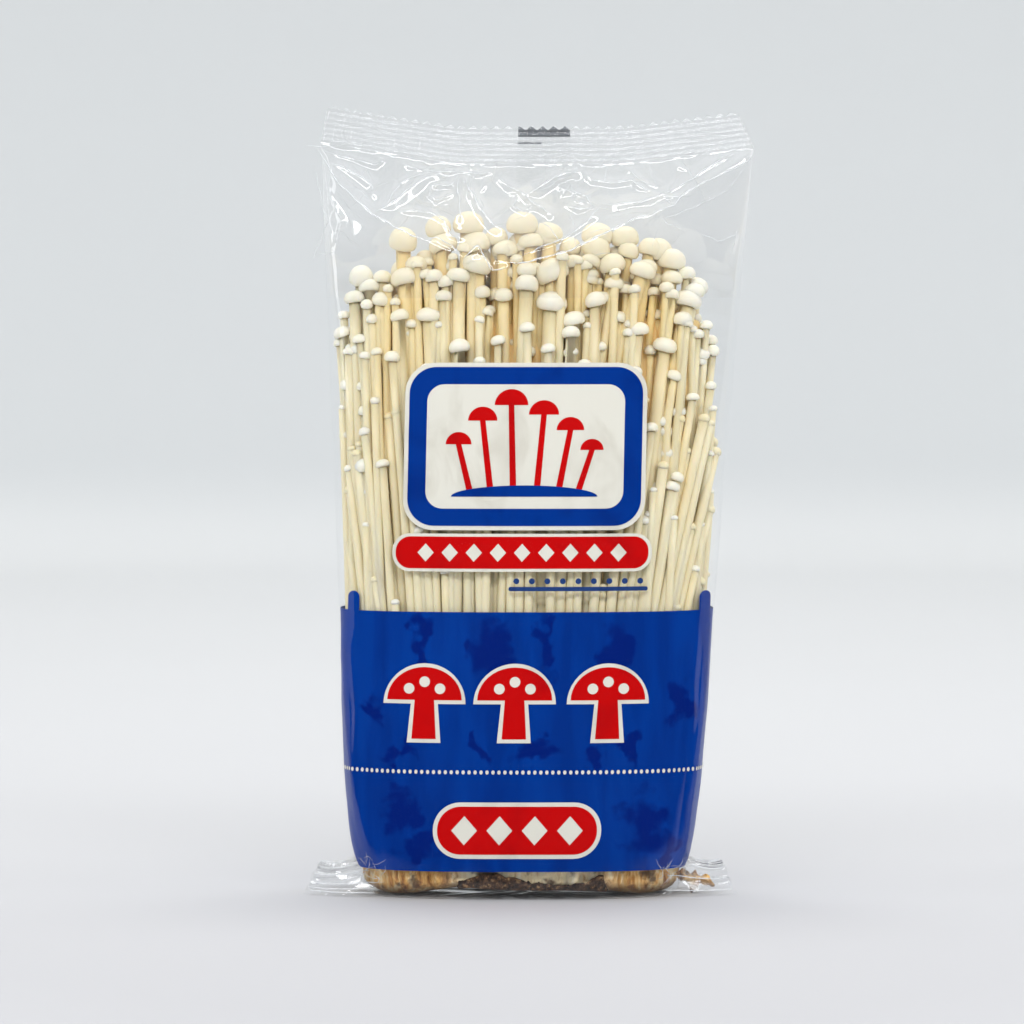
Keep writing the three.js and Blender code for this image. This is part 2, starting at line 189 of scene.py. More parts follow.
def square_at(z):
    return SQUARE_AT_BASE + (SQUARE_AT_SEAL - SQUARE_AT_BASE) * np.clip(z / SEAL_LOW, 0, 1)


def width_at(z):
    return smooth_read(TUBE, 1, z)


def bulge_at(x, z, inset=0.0):
    """Half depth of the unfolded tube."""
    width = width_at(z) - inset
    depth = smooth_read(TUBE, 2, z) - inset
    square = square_at(z)
    across = np.clip(np.abs(x) / width, 0, 1)
    return depth * (1 - across**square) ** (1 / square)


def depth_at(x, z, inset=0.0):
    """Half depth of the film: the tube's, cut off flat above the V-shaped fold."""
    fold = np.interp(x, FOLD[:, 0], FOLD[:, 1])
    share = np.clip((SEAL_LOW - z) / (SEAL_LOW - fold), 0, 1)
    flat = np.maximum(bulge_at(x, fold) * share, FLAT_LEAST)
    flat = np.where(z <= fold, np.inf, flat)
    return np.minimum(bulge_at(x, z, inset), flat - inset)


def lean_at(z):
    return LEAN_SLOPE * (z - LEAN_PLUMB)


def placed(x, y, z):
    """Points of the upright pack in the row frame, in metres."""
    hold = smoothstep(z, BEND_FROM, SEAL_LOW)
    dy = np.zeros_like(x)
    dz = np.zeros_like(x)
    for crease, end, rise, back in WINGS:
        share = (x - crease) / (end - crease)
        out = (share + np.hypot(share, CREASE_ROUND)) / 2
        dz = dz + hold * rise * out
        dy = dy + hold * back * out
    z = z + dz
    return np.stack([x + lean_at(z) + SHIFT_X, y + dy + SHIFT_Y, z], axis=-1) * 0.001


# ---------------------------------------------------------------- meshes


def grid_faces(rows, columns, closed=False):
    """Quads of a grid of points, row after row; closed joins the last column to the first."""
    start = np.arange(rows - 1)[:, None] * columns
    c = np.arange(columns if closed else columns - 1)[None, :]
    n = (c + 1) % columns
    quads = np.stack([start + c, start + n, start + columns + n, start + columns + c], axis=-1)
    return quads.reshape(-1, 4)


def add_piece(name, points, faces, materials, slot, node=None, chosen=None, smooth=True):
    """A mesh object that rides on the root. `chosen` gives each face's material."""
    mesh = bpy.data.meshes.new(name)
    mesh.from_pydata(np.asarray(points).tolist(), [], [list(map(int, f)) for f in faces])
    for material in materials:
        mesh.materials.append(material)
    if chosen is not None:
        mesh.polygons.foreach_set("material_index", np.asarray(chosen, dtype=np.int32))
    mesh.polygons.foreach_set("use_smooth", np.full(len(mesh.polygons), smooth))
    mesh.validate()
    mesh.update()
    piece = bpy.data.objects.new(name, mesh)
    bpy.context.collection.objects.link(piece)
    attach(piece, "root")
    if node:
        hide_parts(node)
    return piece


def add_joined(name, parts, materials, slot, node=None):
    """One piece of many parts: each has points, faces and, if it has them, the faces' materials."""
    points, faces, chosen = [], [], []
    base = 0
    for part_points, part_faces, *marks in parts:
        points.append(part_points)
        faces.extend([[i + base for i in face] for face in part_faces])
        chosen.extend(marks[0] if marks else [])
        base += len(part_points)
    return add_piece(name, np.concatenate(points), faces, materials, slot, node, chosen or None)


def circle(sides):
    """Angles of the corners of a ring."""
    return np.arange(sides) * 2 * math.pi / sides


def run_along(x, y):
    """Length of a line of places up to each of them."""
    return np.concatenate([[0], np.cumsum(np.hypot(np.diff(x), np.diff(y)))])


def capped(rings):
    """A closed body over rings of points, from its lowest to its highest: points and faces."""
    sides = len(rings[0])
    faces = grid_faces(len(rings), sides, closed=True).tolist()
    faces.append(list(range(sides))[::-1])
    faces.append(list(range((len(rings) - 1) * sides, len(rings) * sides)))
    return np.concatenate(rings), faces


def closed_strip(outer, inner, turned):
    """A closed strip between two sheets of points; `turned` sets which way its two ends face."""
    ring = np.concatenate([outer, inner[:, ::-1]], axis=1)
    rows, count = ring.shape[:2]
    faces = grid_faces(rows, count, closed=True).tolist()
    for i in range(count // 2 - 1):
        for start, flip in ((0, turned), ((rows - 1) * count, not turned)):
            end = [start + i, start + i + 1, start + count - 2 - i, start + count - 1 - i]
            faces.append([end[0], *end[:0:-1]] if flip else end)
    return ring.reshape(-1, 3), faces


# ---------------------------------------------------------------- materials


class Nodes:
    """A short hand for building a node material, or the world's nodes."""

    def __init__(self, name, kind="materials", out="OutputMaterial"):
        self.owner = getattr(bpy.data, kind).new(name)
        self.owner.use_nodes = True
        self.tree = self.owner.node_tree
        self.tree.nodes.clear()
        self.out = self.tree.nodes.new("ShaderNode" + out)

    def add(self, kind, inputs=None, **settings):
        """A node with its settings. Each input is linked to a socket, or set to a value."""
        node = self.tree.nodes.new("ShaderNode" + kind)
        for key, value in settings.items():
            setattr(node, key, value)
        for key, value in (inputs or {}).items():
            self.feed(node.inputs[key], value)
        return node

    def feed(self, socket, value):
        if isinstance(value, bpy.types.NodeSocket):
            self.tree.links.new(value, socket)
        elif isinstance(value, tuple) and len(value) < len(socket.default_value):
            socket.default_value = (*value, 1)
        else:
            socket.default_value = value

    def finish(self, shader):
        """Gives the surface its shader."""
        self.feed(self.out.inputs["Surface"], shader)
        return self.owner

    def place(self):
        return self.add("TexCoord").outputs["Object"]

    def axes(self):
        """Object position along X, Y and Z, in metres."""
        return self.add("SeparateXYZ", {0: self.place()}).outputs

    def noise(self, scale, detail=3.0, roughness=0.5, distortion=0.0):
        """Noise over the object position, stretched by a scale."""
        where = self.add("Mapping", {"Vector": self.place(), "Scale": scale}).outputs["Vector"]
        inputs = {"Vector": where, "Scale": 1.0, "Detail": detail, "Roughness": roughness}
        return self.add("TexNoise", {**inputs, "Distortion": distortion}).outputs["Fac"]

    def ramp(self, value, stops):
        node = self.add("ValToRGB", {"Fac": value})
        ramp = node.color_ramp
        while len(ramp.elements) < len(stops):
            ramp.elements.new(0.5)
        for element, (position, colour) in zip(ramp.elements, stops):
            element.position = position
            element.color = (*colour, 1)
        return node.outputs["Color"]

    def mix(self, share, low, high):
        return self.add("Mix", {0: share, 6: low, 7: high}, data_type="RGBA").outputs[2]

    def mix_shader(self, share, first, second):
        return self.add("MixShader", {0: share, 1: first, 2: second}).outputs[0]

    def maths(self, operation, first, second=0.0, third=0.0):
        return self.add("Math", {0: first, 1: second, 2: third}, operation=operation).outputs[0]

    def reach(self, value, low, high, start=0.0, end=1.0, kind="SMOOTHSTEP"):
        """A share that runs from `start` to `end` while a value runs from `low` to `high`."""
        inputs = {"Value": value, "From Min": low, "From Max": high, "To Min": start, "To Max": end}
        return self.add("MapRange", inputs, interpolation_type=kind).outputs["Result"]

    def bump(self, value, distance, strength=1.0):
        inputs = {"Height": value, "Distance": distance, "Strength": strength}
        return self.add("Bump", inputs).outputs["Normal"]

    def principled(self, colour, roughness, **others):
        inputs = {name.replace("_", " "): value for name, value in others.items()}
        return self.add("BsdfPrincipled", {"Base Color": colour, "Roughness": roughness, **inputs}).outputs[0]


def linear(red, green, blue):
    """An sRGB colour of 0 to 255 as linear light."""
    values = [v / 255 for v in (red, green, blue)]
    return tuple(v / 12.92 if v < 0.04045 else ((v + 0.055) / 1.055) ** 2.4 for v in values)


NOTHING = (0.0, 0.0, 0.0)
FULLY = (1.0, 1.0, 1.0)
# Painted shade: flesh is darker and warmer deep in the bunch, and at its lightest near the film: axis, and
# the distances in metres between which it gets there
SHADE_FADES_NEAR_FILM = (("X", 0.03, 0.04), ("Y", 0.004, 0.0122))


def flesh_material(name, light, shade, deep, rough, soft):
    """Cream flesh, with long streaks up the stem, that turns to `deep` towards the middle of the bunch: a
    painted shade.
    """
    n = Nodes(name)
    streak = n.noise((620, 620, 26), detail=2.0)
    patch = n.noise((110, 110, 60), detail=2.0)
    streaked = n.ramp(streak, [(0.3, shade), (0.7, light)])
    outer = n.mix(n.maths("MULTIPLY", patch, 0.9), streaked, light)
    axes = n.axes()
    near = [n.reach(n.maths("ABSOLUTE", axes[axis]), low, high) for axis, low, high in SHADE_FADES_NEAR_FILM]
    grain = n.noise((2400, 2400, 700), detail=2.0)
    return n.finish(n.principled(
        n.mix(n.maths("MAXIMUM", *near), deep, outer),
        n.maths("MULTIPLY_ADD", patch, 0.2, rough),
        Normal=n.bump(grain, 0.00006, 0.5),
        Subsurface_Weight=soft,
        Subsurface_Radius=(0.004, 0.0028, 0.0014),
        Subsurface_Scale=0.5,
    ))


ROOT_CREAM = ((0.3, (180, 140, 90)), (0.45, (240, 220, 178)), (0.65, (254, 244, 216)))
ROOT_TAN = ((0.3, (92, 56, 28)), (0.42, (192, 132, 64)), (0.52, (230, 180, 104)), (0.66, (248, 226, 180)))
MEDIUM_BROWN = ((0.36, (26, 18, 13)), (0.48, (62, 42, 30)), (0.58, (96, 68, 46)), (0.66, (168, 134, 94)))


def srgb_stops(stops):
    return [(position, linear(*colour)) for position, colour in stops]


def root_material():
    """The cut root: cream fibres in the middle, tan towards the sides, with brown rot between them, and
    painted shade at its foot.
    """
    n = Nodes("root_flesh")
    fibre = n.noise((520, 520, 110), detail=4.0, roughness=0.6, distortion=0.4)
    cream = n.ramp(fibre, srgb_stops(ROOT_CREAM))
    tan = n.ramp(fibre, srgb_stops(ROOT_TAN))
    axes = n.axes()
    side = n.reach(n.maths("ABSOLUTE", axes["X"]), 0.014, 0.022)
    rot = n.noise((170, 120, 200), detail=3.0, roughness=0.6)
    dark = n.ramp(rot, [(0.54, NOTHING), (0.64, FULLY)])
    # the foot is darkened up to a ragged height, worked out in millimetres: painted contact shade, with
    # residue of the medium
    high = n.maths("SUBTRACT", n.maths("MULTIPLY", axes["Z"], 1000.0), 2.0)
    foot = n.reach(n.maths("MULTIPLY_ADD", rot, 4.0, high), 4.2, 1.2, end=0.75)
    shaded = n.mix(foot, n.mix(side, cream, tan), linear(72, 48, 32))
    return n.finish(n.principled(
        n.mix(n.maths("MULTIPLY", dark, 0.85), shaded, linear(74, 50, 36)),
        n.maths("MULTIPLY_ADD", fibre, 0.25, 0.4),
        Normal=n.bump(fibre, 0.0006, 0.8),
        Subsurface_Weight=0.1,
        Subsurface_Radius=(0.003, 0.002, 0.001),
        Subsurface_Scale=0.5,
    ))


def medium_material():
    n = Nodes("spent_medium")
    crumb = n.noise((900, 900, 900), detail=5.0, roughness=0.7)
    rough = n.maths("MULTIPLY_ADD", crumb, 0.2, 0.72)
    brown = n.ramp(crumb, srgb_stops(MEDIUM_BROWN))
    return n.finish(n.principled(brown, rough, Normal=n.bump(crumb, 0.0008)))


FILM_MIRROR = 0.045  # what one face of the film mirrors, seen square on
HAZE_FROM = 0.14  # heights, in metres, between which the haze of the headspace grows
HAZE_FULL = 0.162
GLOSS_MOST = 0.5  # the largest share of gloss, at a grazing angle


def film_material(name, haze, gloss, top_haze=None):
    """Clear film: see-through, with the gloss of both its faces and a haze, which can grow with height."""
    n = Nodes(name)
    clear = n.add("BsdfTransparent", {"Color": (0.993, 0.995, 0.996)})
    rough = n.maths("MULTIPLY_ADD", n.noise((60, 60, 40), detail=2.0), 0.06, 0.03)
    shine = n.add("BsdfGlossy", {"Color": FULLY, "Roughness": rough})
    facing = n.add("LayerWeight", {"Blend": 0.5})
    grazing = n.maths("POWER", facing.outputs["Facing"], 5.0)
    fresnel = n.maths("MULTIPLY_ADD", grazing, 1 - FILM_MIRROR, FILM_MIRROR)
    amount = n.maths("MINIMUM", n.maths("MULTIPLY", fresnel, gloss), GLOSS_MOST)
    glossy = n.mix_shader(amount, clear.outputs[0], shine.outputs[0])
    veil = n.add("BsdfDiffuse", {"Color": (0.95, 0.96, 0.97)})
    cloud = n.noise((45, 45, 30), detail=3.0)
    grown = n.reach(n.axes()["Z"], HAZE_FROM, HAZE_FULL, haze, haze if top_haze is None else top_haze)
    return n.finish(n.mix_shader(n.maths("MULTIPLY", cloud, grown), glossy, veil.outputs[0]))


def crease_material():
    """Film that is folded hard: whitened along the fold, partly as stress whitening and partly as a painted
    highlight for its glints, and half clear still.
    """
    n = Nodes("whitened_film_painted_glint")
    clear = n.add("BsdfTransparent").outputs[0]
    white = n.principled((0.93, 0.95, 0.97), 0.22, Specular_IOR_Level=0.8)
    cloud = n.noise((500, 500, 500), detail=2.0)
    return n.finish(n.mix_shader(n.maths("MULTIPLY_ADD", cloud, 0.9, 0.1), clear, white))


def ink_material(name, colour, worn, roughness=0.42):
    """Printing ink under gloss film, a little uneven where the film clings to what is behind it."""
    n = Nodes(name)
    cling = n.noise((70, 70, 45), detail=4.0, roughness=0.6, distortion=0.8)
    shade = n.ramp(cling, [(0.36, linear(*worn)), (0.5, linear(*colour))])
    speck = n.noise((1500, 1500, 1500), detail=1.0)
    rough = n.maths("MULTIPLY_ADD", speck, 0.1, roughness)
    return n.finish(n.principled(shade, rough, Specular_IOR_Level=0.0))


# Wet patches on the band: x, height, half width, half height
WET_PATCHES = [
    (-30, 21.5, 5, 7), (-26, 13, 7, 3), (27, 18, 7, 9), (32, 11, 3.5, 5), (20.5, 56, 4.2, 14),
    (-24.5, 57, 3, 13), (-9, 58, 4.6, 12), (4.5, 60, 2.4, 9), (36, 46, 3.5, 7), (-36, 44, 2.6, 6),
    (2.5, 35, 6, 3.6), (-11.5, 35.5, 2.8, 3.6), (15.3, 33.5, 3.4, 3), (24, 36, 3.2, 6), (-31, 34.5, 7, 2.6),
]
WET_RAGGED = 0.016  # how far the edges of a patch are shifted about, in metres


def wet_share(n):
    """How wet each place of the band is: ragged patches, as shares that fall off from their middles."""
    where = n.place()
    ragged = n.add("TexNoise", {"Vector": where, "Scale": 190, "Detail": 4})
    centred = n.add("VectorMath", {0: ragged.outputs["Color"], 1: (0.5, 0.5, 0.5)}, operation="SUBTRACT")
    shift = n.add("VectorMath", {0: centred.outputs[0], "Scale": WET_RAGGED}, operation="SCALE")
    warped = n.add("VectorMath", {0: where, 1: shift.outputs[0]}, operation="ADD").outputs[0]
    total = None
    for x, z, half_width, half_height in WET_PATCHES:
        middle = (x * 0.001, -0.018, z * 0.001)
        size = (half_width * 0.001, 0.03, half_height * 0.001)
        local = n.add("Mapping", {"Vector": warped, "Location": middle, "Scale": size}, vector_type="TEXTURE")
        away = n.add("VectorMath", {0: local.outputs["Vector"]}, operation="LENGTH").outputs["Value"]
        near = n.maths("MAXIMUM", n.maths("SUBTRACT", 1.0, away), 0.0)
        total = near if total is None else n.maths("MAXIMUM", total, near)
    return n.reach(n.maths("SUBTRACT", total, 0.08), 0.0, 0.45)


def band_material(colour, wet, lit):
    """The blue of the band: ragged darker patches where wet film clings, and paler soft streaks of painted
    sheen.
    """
    n = Nodes("ink_blue")
    streak = n.noise((170, 170, 26), detail=3.0, distortion=0.6)
    pale = n.ramp(streak, [(0.4, NOTHING), (0.64, FULLY)])
    dry = n.mix(pale, linear(*colour), linear(*lit))
    return n.finish(n.principled(n.mix(wet_share(n), dry, linear(*wet)), 0.4, Specular_IOR_Level=0.0))


def flesh(name, light, shade, deep, rough, soft):
    return flesh_material(name, linear(*light), linear(*shade), linear(*deep), rough, soft)


# The last colour of each flesh, `deep`, is painted shade for the inside of the bunch.
CAP = flesh("cap_flesh", (242, 238, 224), (240, 232, 210), (242, 230, 198), 0.38, 0.25)
STALK = flesh("stem_flesh", (237, 226, 193), (229, 212, 170), (245, 216, 152), 0.42, 0.28)
# The core is a darker amber all over: painted shade for the deep gaps between the stems.
CORE_SHADED_FLESH = flesh("inner_flesh_painted_shade", (248, 224, 170), (242, 211, 148), (236, 198, 132), 0.5, 0.0)
ROOT = root_material()
SOIL = medium_material()
FILM = film_material("clear_film", 0.003, 0.9)
FILM_HEAD = film_material("clear_film_head", 0.05, 1.9, 0.26)
FILM_EAR = film_material("clear_film_ear", 0.04, 0.9)
CREASE = crease_material()
BLUE = band_material((0, 47, 132), (0, 31, 115), (0, 57, 147))
BADGE_BLUE = ink_material("ink_badge_blue", (0, 52, 140), (0, 44, 128))
RED = ink_material("ink_red", (198, 8, 10), (184, 8, 12))
WHITE = ink_material("ink_white", (226, 223, 212), (214, 210, 198))
NAVY = ink_material("ink_navy", (40, 66, 120), (34, 56, 106))
MARK = ink_material("ink_mark", (92, 98, 104), (84, 90, 96))

# ---------------------------------------------------------------- the film and its wrinkles

# The close view of the headspace that its wrinkles were read from: its corner, its zoom and the scale
PIXELS_PER_MM = 4.25
MIDDLE_PIXEL = 525
BAR_LEFT_PIXEL = 392  # the two ends of the title bar
BAR_RIGHT_PIXEL = 646
FLOOR_PIXEL = 892.6
VIEW_LEFT = 305
VIEW_TOP = 95
VIEW_ZOOM = 3.409
# Sharp wrinkles of the headspace: height of the fold and half width in mm, then places across and down in it
HEAD_WRINKLES = {
    # the V of the left side and what springs from its knee
    "left_v": (1.0, 3.2, [(40, 185), (80, 235), (110, 290), (160, 340), (235, 405), (330, 460), (420, 500)]),
    "left_flash": (0.8, 2.0, [(85, 230), (140, 250), (195, 280), (235, 310), (238, 370)]),
    "left_flash_foot": (0.4, 0.9, [(180, 320), (215, 350), (240, 375)]),
    "left_rise": (0.8, 2.2, [(235, 405), (300, 370), (360, 320), (400, 290), (470, 262)]),
    "left_rise_twin": (0.5, 1.2, [(270, 390), (330, 300), (380, 275), (450, 262)]),
    "left_loop": (0.4, 0.7, [(310, 355), (312, 325), (335, 312), (340, 340)]),
    "left_low": (0.5, 1.1, [(300, 400), (380, 395), (440, 405), (480, 430), (500, 480), (545, 490)]),
    "left_low_twin": (0.4, 0.9, [(400, 500), (450, 485), (500, 510), (540, 560)]),
    # under the seal, and what runs down from where the film is gathered there
    "under_left": (0.5, 1.0, [(60, 190), (130, 210), (190, 225), (240, 240), (262, 225), (240, 212)]),
    "under_middle": (0.5, 1.0, [(330, 235), (400, 258), (470, 262), (530, 262), (600, 270), (640, 262)]),
    "plumb": (0.7, 1.6, [(530, 268), (520, 310), (530, 360), (530, 440)]),
    "slant": (0.9, 2.0, [(545, 268), (555, 310), (580, 350), (600, 390), (640, 440), (670, 465)]),
    "hook": (0.4, 0.9, [(620, 282), (612, 310), (595, 335)]),
    "wide_loop": (0.5, 1.0, [(530, 265), (500, 308), (430, 310), (425, 340), (450, 360), (520, 330)]),
    # the middle
    "middle": (0.7, 1.5, [(660, 275), (690, 310), (740, 335), (780, 370), (830, 400), (840, 425)]),
    "middle_knot": (0.5, 0.9, [(700, 330), (720, 350), (710, 380), (745, 400), (780, 372)]),
    "arc": (0.9, 2.4, [(740, 350), (790, 320), (850, 280), (900, 265), (950, 255)]),
    "arc_twin": (0.5, 1.1, [(800, 332), (870, 290), (930, 262)]),
    "sweep": (0.6, 1.4, [(950, 258), (975, 290), (1050, 300), (1110, 290), (1150, 320), (1190, 330)]),
    "patch": (0.6, 1.2, [(860, 310), (900, 330), (950, 340), (980, 385), (930, 390), (880, 370)]),
    "patch_twin": (0.5, 1.0, [(870, 350), (905, 300), (920, 360), (960, 375)]),
    # the V of the right side
    "right_v": (1.0, 3.2, [
        (1530, 180), (1500, 230), (1420, 270), (1330, 310), (1270, 350), (1250, 380), (1180, 400),
    ]),
    "right_v_low": (1.0, 3.2, [(1180, 400), (1100, 430), (1000, 480), (900, 530), (790, 560), (710, 580)]),
    "right_twin": (0.7, 2.2, [(1480, 190), (1380, 240), (1310, 290), (1240, 330), (1140, 365), (1010, 375)]),
    "right_twin_low": (0.7, 2.0, [(1010, 375), (950, 440), (880, 490), (800, 520), (740, 550)]),
    "tie": (0.5, 1.1, [(1090, 245), (1150, 300), (1210, 320)]),
    "tie_middle": (0.4, 0.9, [(1170, 255), (1180, 290), (1215, 310)]),
    "tie_right": (0.4, 0.9, [(1260, 240), (1300, 260), (1330, 290)]),
    "right_knot": (0.9, 1.4, [(1215, 345), (1250, 350), (1290, 340)]),
    "right_knot_twin": (0.5, 0.9, [(1200, 330), (1240, 370), (1280, 365)]),
    # faint ones outside the V, and a tongue of film that lies on the caps
    "faint_right": (0.35, 1.2, [(1500, 240), (1430, 330), (1330, 380), (1200, 430)]),
    "faint_right_low": (0.3, 1.0, [(1340, 470), (1400, 500), (1460, 480), (1440, 560)]),
    "faint_left": (0.3, 1.0, [(75, 250), (90, 350), (130, 430), (110, 520)]),
    "tongue": (0.6, 1.3, [(540, 560), (590, 510), (640, 600), (700, 585)]),
}
# Long folds down the two sides, over the print, in mm: height of the fold, half width, points [x, z]
SIDE_FOLDS = [
    (0.6, 2.4, [(-43.6, 66), (-42.4, 50), (-41.5, 38), (-39.5, 24), (-34.6, 5)]),
    (0.4, 1.5, [(-41, 60), (-39.4, 44), (-40.2, 30)]),
    (0.5, 2.0, [(43.4, 66), (42.4, 50), (40.2, 32), (38, 16), (36.4, 5)]),
    (0.3, 1.4, [(40.4, 62), (39.2, 50), (39.4, 38)]),
]
SETTLE_STEPS = 30  # rounds in which a height settles
CREASE_LOWEST = 146.0  # only folds over this height are whitened
RIB_PITCH = 1.25  # of the crimped seal
RIDGE_STEP = 0.45  # between the points along a whitened ridge


def head_place(across, down):
    """Place on the film, before the wings of its seal rise, of a place in the close view."""
    x = (VIEW_LEFT + across / VIEW_ZOOM - MIDDLE_PIXEL) / PIXELS_PER_MM
    seen = (FLOOR_PIXEL - VIEW_TOP - down / VIEW_ZOOM) / PIXELS_PER_MM
    upright = np.array(x - lean_at(seen))
    z = seen
    for _ in range(SETTLE_STEPS):
        risen = float(placed(upright, 0.0, np.array(z))[2]) * 1000
        z = seen - (risen - z)
    return x, z


FRONT_WRINKLES = [
    (height, width, [head_place(*place) for place in places])
    for height, width, places in HEAD_WRINKLES.values()
] + SIDE_FOLDS


def along(x, z, points, width):
    """A tent, 1 high, over a line of points, that fades at its two ends."""
    best = np.zeros_like(x)
    total = len(points) - 1
    for i in range(total):
        ax, az = points[i]
        bx, bz = points[i + 1]
        ex, ez = bx - ax, bz - az
        t = np.clip(((x - ax) * ex + (z - az) * ez) / (ex * ex + ez * ez), 0, 1)
        away = np.hypot(x - ax - t * ex, z - az - t * ez)
        run = (i + t) / total
        end = np.minimum(1, 6 * np.minimum(run, 1 - run) + 0.25)
        best = np.maximum(best, end * np.clip(1 - away / width, 0, 1))
    return best


def random_wrinkles(count, low, high, seed, left=-47, right=47, shortest=2, longest=7):
    """Seeded short straight wrinkles: height, half width, points."""
    draw = np.random.default_rng(seed)
    found = []
    for _ in range(count):
        x = draw.uniform(left, right)
        z = draw.uniform(low, high)
        turn = draw.uniform(0, math.pi)
        half = draw.uniform(shortest, longest)
        dx, dz = half * math.cos(turn), half * math.sin(turn)
        middle = (x + draw.normal(0, 0.8), z + draw.normal(0, 0.8))
        points = [(x - dx, z - dz), middle, (x + dx, z + dz)]
        found.append((draw.uniform(0.1, 0.3), draw.uniform(0.5, 0.9), points))
    return found


FRONT_FAINT = random_wrinkles(26, 150, 173, 5)
BACK_WRINKLES = random_wrinkles(46, 148, 173, 6)
LOW_WRINKLES = random_wrinkles(46, -2, 7, 8)
# Crumpled film at the two low corners
CORNER_WRINKLES = random_wrinkles(22, 2, 9, 11, -38, -33, 0.8, 2.2)
CORNER_WRINKLES += random_wrinkles(14, 2, 8, 12, 31, 36, 0.8, 2.2)


def crumple(x, y, z, scale, seed):
    """Soft ridges of thin film, from -1 to 1, at many points."""
    offset = Vector((seed * 17.3, seed * 5.1, seed * 9.7))
    places = zip(x.ravel(), y.ravel(), z.ravel())
    made = [1 - 2.4 * abs(noise.noise(Vector(p) * scale + offset)) for p in places]
    return np.array(made).reshape(x.shape)


def pleats(x, z):
    """Small pleats that run down from the top seal."""
    fade = smoothstep(z, SEAL_LOW - 13, SEAL_LOW - 1)
    wave = np.sin(x * 1.15 + 1.6 * np.sin(x * 0.21)) + 0.5 * np.sin(x * 2.7 + 1)
    gate = 0.45 + 0.55 * np.sin(x * 0.19 + 0.7) ** 2
    return 0.13 * fade * gate * wave


def wrinkle(x, z, side):
    """How far the film stands out of its smooth shape, with its tents kept clear of what is inside."""
    edge = np.clip((width_at(z) - np.abs(x)) / 2.5, 0, 1)
    total = np.zeros_like(x)
    upright = x
    x = x + lean_at(z)
    if side < 0:
        for height, width, points in FRONT_WRINKLES:
            total = np.maximum(total, height * along(x, z, points, width))
        for height, width, points in FRONT_FAINT:
            total = total + 0.5 * height * along(x, z, points, width)
    else:
        for height, width, points in BACK_WRINKLES:
            total = total + height * along(x, z, points, width)
    low = 1 - smoothstep(z, 4.5, 8)
    for height, width, points in LOW_WRINKLES:
        total = total + low * height * along(x, z, points, width)
    return edge * (total + pleats(upright, z))


def outward(x, z):
    """Sideways and outward share of the film's normal in a level section."""
    square = square_at(z)
    width = width_at(z)
    depth = smooth_read(TUBE, 2, z)
    across = np.clip(np.abs(x) / width, 0, 1)
    nx = np.sign(x) * across ** (square - 1) / width
    ny = (1 - across**square) ** ((square - 1) / square) / depth
    size = np.hypot(nx, ny)
    return nx / size, ny / size


def film_point(x, z, side, inset=0.0):
    """The film at a place across the pack and a height, up to the cut edge of its seal."""
    low = np.minimum(z, SEAL_LOW)
    depth = depth_at(x, low)
    nx, ny = outward(x, low)
    swell = crumple(x, side * depth, low, 0.085, 3)
    stand = wrinkle(x, low, side) + swell * (0.08 + 0.08 * smoothstep(low, 146, 165))
    above = np.clip((z - SEAL_LOW) / (SEAL_HIGH - SEAL_LOW), 0, 1)
    stand = stand * (1 - smoothstep(z, SEAL_LOW - 1.5, SEAL_LOW + 0.6))
    px = x + nx * (stand - inset)
    py = side * np.maximum(depth + ny * (stand - inset), FLAT_LEAST - 0.5 * min(inset, 0.2))
    px = px * (1 + (np.where(x < 0, SEAL_TAPER_LEFT, SEAL_TAPER_RIGHT) - 1) * above)
    crimp = 0.2 * np.sin((z - SEAL_LOW) * 2 * math.pi / RIB_PITCH) * smoothstep(z, SEAL_LOW, SEAL_LOW + 0.8)
    seal_on = smoothstep(z, SEAL_LOW - 2.0, SEAL_LOW + 2.5)
    ripple = 0.35 * np.sin(x * 0.33 + 1.0) + 0.22 * np.sin(x * 0.83) + 0.1 * np.sin(x * 1.9 + 0.12 * z)
    crushed = np.clip((x - 45) / 4, 0, 1) * 0.5 * np.abs(np.sin(x * 1.7 + 0.25 * z))
    return px, py + crimp + seal_on * (ripple + crushed), z


def section(z, turn, room=0.0):
    """Places round the tube at a height, moved in by some room."""
    power = 2 / float(square_at(z))
    c, s = np.cos(turn), np.sin(turn)
    x = (float(width_at(z)) - room) * np.sign(c) * np.abs(c) ** power
    y = (float(smooth_read(TUBE, 2, z)) - room) * np.sign(s) * np.abs(s) ** power
    return x, y


def arc_places(z, columns):
    """Places across the tube at equal steps along its film, for each height: one row per height."""
    rows = []
    for level in z:
        x = section(level, np.linspace(math.pi, 0, 721))[0]
        run = run_along(x, bulge_at(x, np.full_like(x, level)))
        rows.append(np.interp(np.linspace(0, run[-1], columns), run, x))
    return np.array(rows)


def tooth_edge(x):
    """Height of the cut edge of the seal: a zigzag."""
    phase = np.abs(((x / TOOTH) % 1) * 2 - 1)
    return SEAL_HIGH - NOTCH * phase


FILM_COLUMNS = 318
HEAD_FROM = 140.0
TUBE_ROWS = 92
HEAD_ROWS = 92
SEAL_ROWS = 60


def both_sheets(x, z, inset=0.0):
    """Front and back film at the same places, as closed rings of points."""
    front = placed(*film_point(x, z, -1, inset))
    back = placed(*film_point(x, z, 1, inset))
    return np.concatenate([front, back[:, ::-1][:, 1:-1]], axis=1)


def build_tube():
    """The filled tube, up to where the mushrooms end, with its base."""
    level = np.linspace(0, HEAD_FROM, TUBE_ROWS)
    x = arc_places(level, FILM_COLUMNS)
    ring = both_sheets(x, np.repeat(level[:, None], FILM_COLUMNS, axis=1))
    count = ring.shape[1]
    faces = grid_faces(TUBE_ROWS, count, closed=True).tolist()
    points, faces = close_base(ring.reshape(-1, 3), faces, count)
    add_piece("film_skin", points, faces, [FILM], "clear_film", node="film_pouch")


